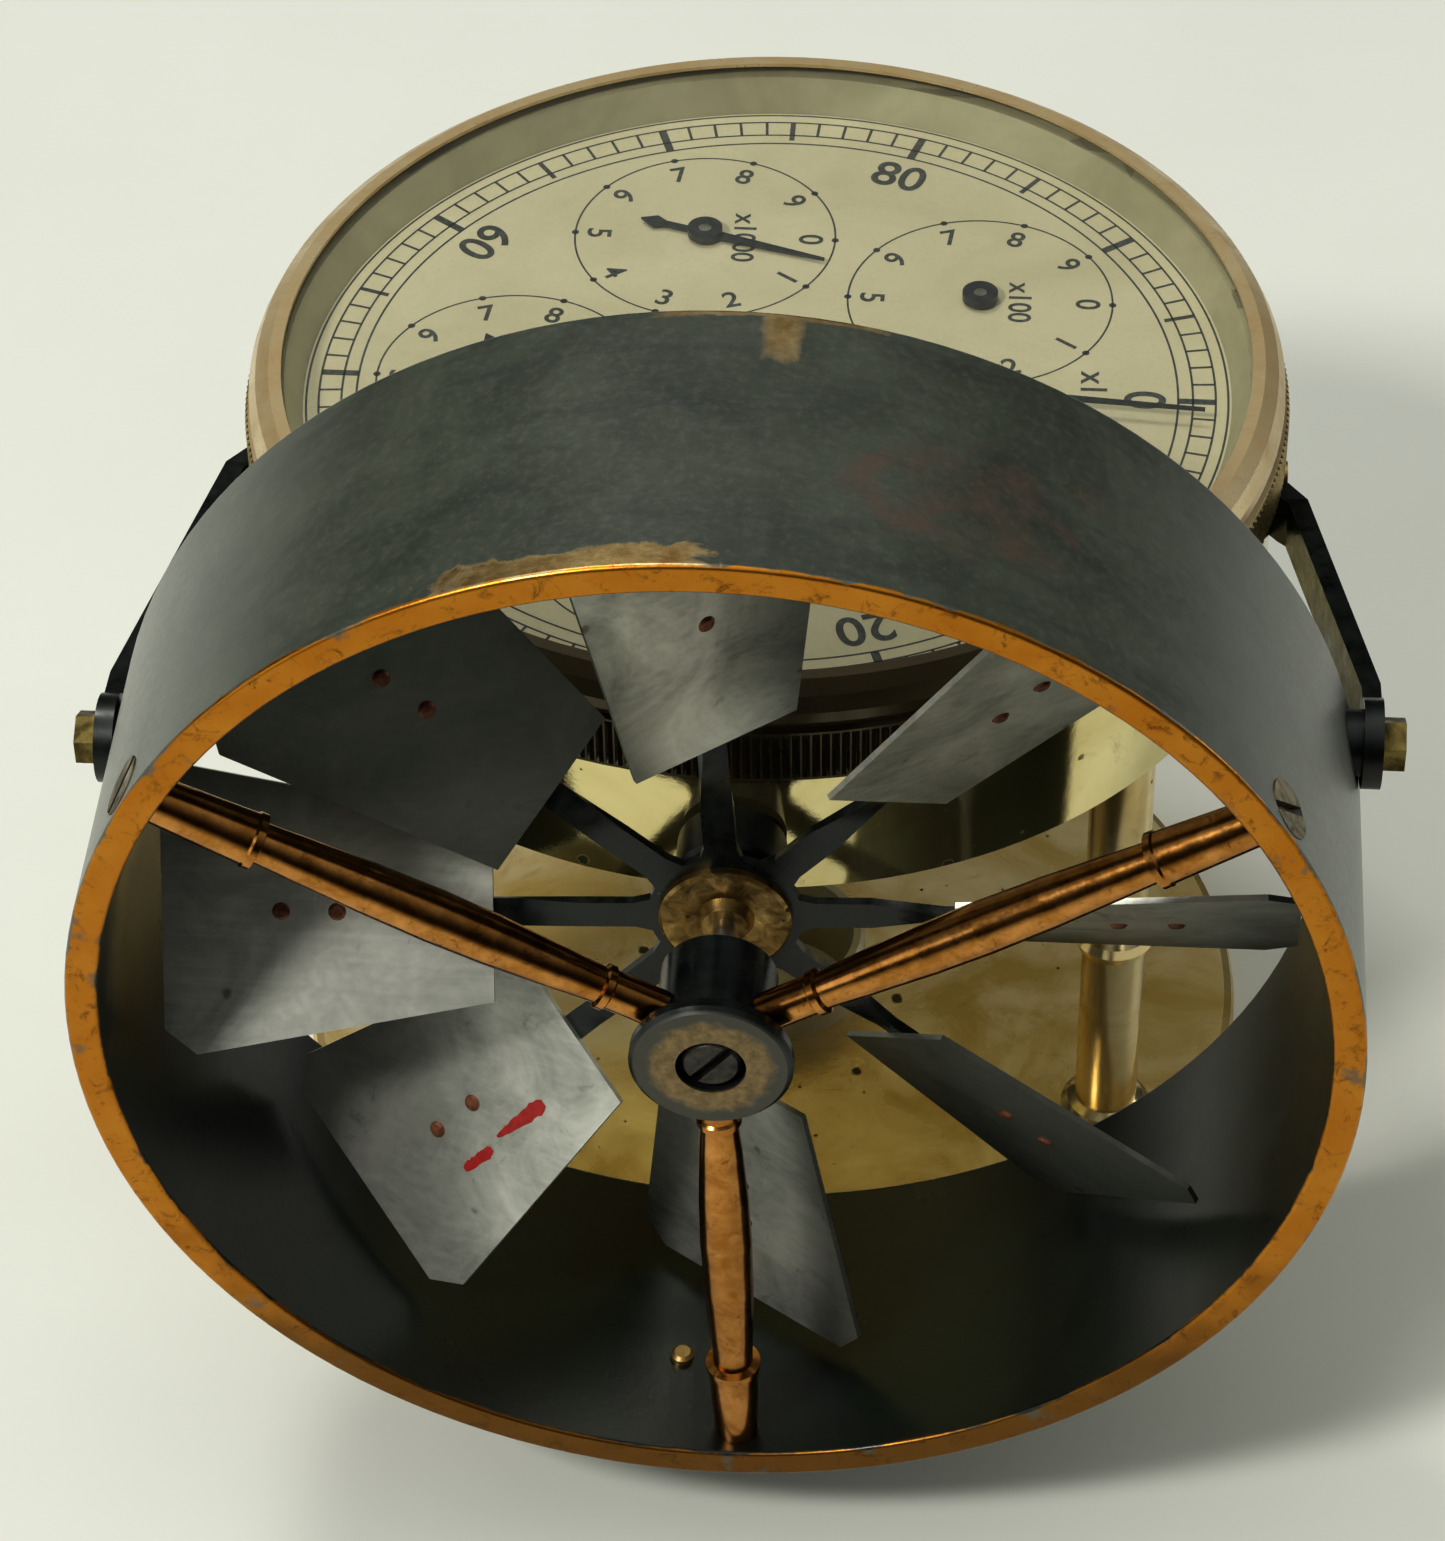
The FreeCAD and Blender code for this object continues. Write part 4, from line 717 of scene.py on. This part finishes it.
def paint_marks():
    red = red_paint()
    paint_mark("vane_red_mark_long", (25.9, 3.7), (32.0, 3.6), (1.7, 0.5), red, 3)
    paint_mark("vane_red_mark_short", (33.2, 4.2), (36.9, 4.2), (1.1, 0.9), red, 8)


# ---------------------------------------------------------------- floor, light and camera


FLOOR_HALF_SIZE = 3.0
FLOOR_DROP = 0.02 * MM
PAPER = ((0.735, 0.745, 0.68), (0.765, 0.775, 0.71))
FAR_SHADE = (0.32, 0.325, 0.30)


def build_floor():
    """Pale paper; beyond the picture's near edge it carries painted shade, which the vanes reflect.
    """
    size = FLOOR_HALF_SIZE
    verts = [(-size, -size, 0), (size, -size, 0), (size, size, 0), (-size, size, 0)]
    mesh = bpy.data.meshes.new("floor")
    mesh.from_pydata(verts, [], [(0, 1, 2, 3)])
    floor = bpy.data.objects.new("floor", mesh)
    bpy.context.scene.collection.objects.link(floor)
    floor.location.z = -FLOOR_DROP
    s = Surface("floor_paper")
    paper = s.mix(s.ramp(s.noise(60 * MM, 4, 0.6), 0.3, 0.7), *PAPER)
    # Painted shade: the paper in front, beyond the picture, is dark for the vanes to reflect.
    near = s.ramp(s.axes()["Y"], -0.26, -0.50)
    dress(floor, s.finish(s.mix(near, paper, FAR_SHADE), 0.6))


LIGHT_TARGET = (0.0, -0.03, 0.06)
WARM, COOL = (1.0, 0.99, 0.94), (0.98, 1.0, 0.98)

# Name, place, width and height, power in watts, colour.
LAMPS = (
    ("key_light", (-0.55, -0.64, 0.94), (0.16, 0.16), 7.2, WARM),
    ("back_light", (-0.30, 0.28, 1.10), (0.20, 0.20), 2.9, WARM),
    ("left_panel", (-1.1, -0.72, 0.34), (0.55, 0.62), 1.25, COOL),
    ("right_panel", (1.1, 0.25, 0.30), (0.50, 0.60), 2.0, COOL),
)

# The sky's strength goes from low at the horizon to high overhead, slowly at first.
SKY_LOW, SKY_HIGH = 0.006, 0.98
SKY_POWER = 4.0
SKY_COLOUR = (0.97, 1.0, 0.97, 1.0)


def area_light(name, place, size, power, colour):
    light = bpy.data.lights.new(name, "AREA")
    light.shape = "RECTANGLE"
    light.size, light.size_y = size
    light.energy = power
    light.color = colour
    lamp = bpy.data.objects.new(name, light)
    bpy.context.scene.collection.objects.link(lamp)
    lamp.location = place
    away = Vector(LIGHT_TARGET) - Vector(place)
    lamp.rotation_euler = away.to_track_quat("-Z", "Y").to_euler()


def build_sky():
    world = bpy.data.worlds.new("studio")
    world.use_nodes = True
    tree = world.node_tree
    direction = tree.nodes.new("ShaderNodeTexCoord")
    parts = tree.nodes.new("ShaderNodeSeparateXYZ")
    steep = tree.nodes.new("ShaderNodeMath")
    steep.operation = "POWER"
    steep.inputs[1].default_value = SKY_POWER
    height = tree.nodes.new("ShaderNodeMapRange")
    for socket, value in zip(height.inputs[1:], (0.0, 1.0, SKY_LOW, SKY_HIGH)):
        socket.default_value = value
    tree.links.new(direction.outputs["Generated"], parts.inputs[0])
    tree.links.new(parts.outputs["Z"], steep.inputs[0])
    tree.links.new(steep.outputs[0], height.inputs[0])
    back = tree.nodes["Background"]
    back.inputs["Color"].default_value = SKY_COLOUR
    tree.links.new(height.outputs[0], back.inputs["Strength"])
    bpy.context.scene.world = world


def build_light():
    for lamp in LAMPS:
        area_light(*lamp)
    build_sky()
    bpy.context.scene.view_settings.view_transform = "Standard"
    bpy.context.scene.view_settings.look = "Medium High Contrast"


CAMERA_AZIMUTH, CAMERA_HEIGHT, CAMERA_ROLL = (math.radians(a) for a in (4.728, 43.109, -1.018))
CAMERA_TARGET = Vector((0.04, -55.0, 81.9)) * MM
CAMERA_DISTANCE = 406.63 * MM
SENSOR_HEIGHT = 36.0
FOCAL_SHARE = 5102.98 / 1541


def build_camera():
    """The camera looks down at the ring's front. Its lens is long for its distance."""
    level = math.cos(CAMERA_HEIGHT)
    back = Vector((math.sin(CAMERA_AZIMUTH) * level, -math.cos(CAMERA_AZIMUTH) * level,
                   math.sin(CAMERA_HEIGHT)))
    right = (-back).cross(Vector((0, 0, 1))).normalized()
    up = right.cross(-back)
    turned_right = math.cos(CAMERA_ROLL) * right + math.sin(CAMERA_ROLL) * up
    turned_up = -math.sin(CAMERA_ROLL) * right + math.cos(CAMERA_ROLL) * up
    place = Matrix((turned_right, turned_up, back)).transposed().to_4x4()
    place.translation = CAMERA_TARGET + back * CAMERA_DISTANCE
    data = bpy.data.cameras.new("camera")
    data.sensor_fit = "VERTICAL"
    data.sensor_height = SENSOR_HEIGHT
    data.lens = SENSOR_HEIGHT * FOCAL_SHARE
    data.clip_start = 0.01
    camera = bpy.data.objects.new("camera", data)
    camera.matrix_world = place
    bpy.context.scene.collection.objects.link(camera)
    bpy.context.scene.camera = camera


dress_nodes()
print_dial()
coin_edge()
paint_marks()
build_floor()
build_light()
build_camera()
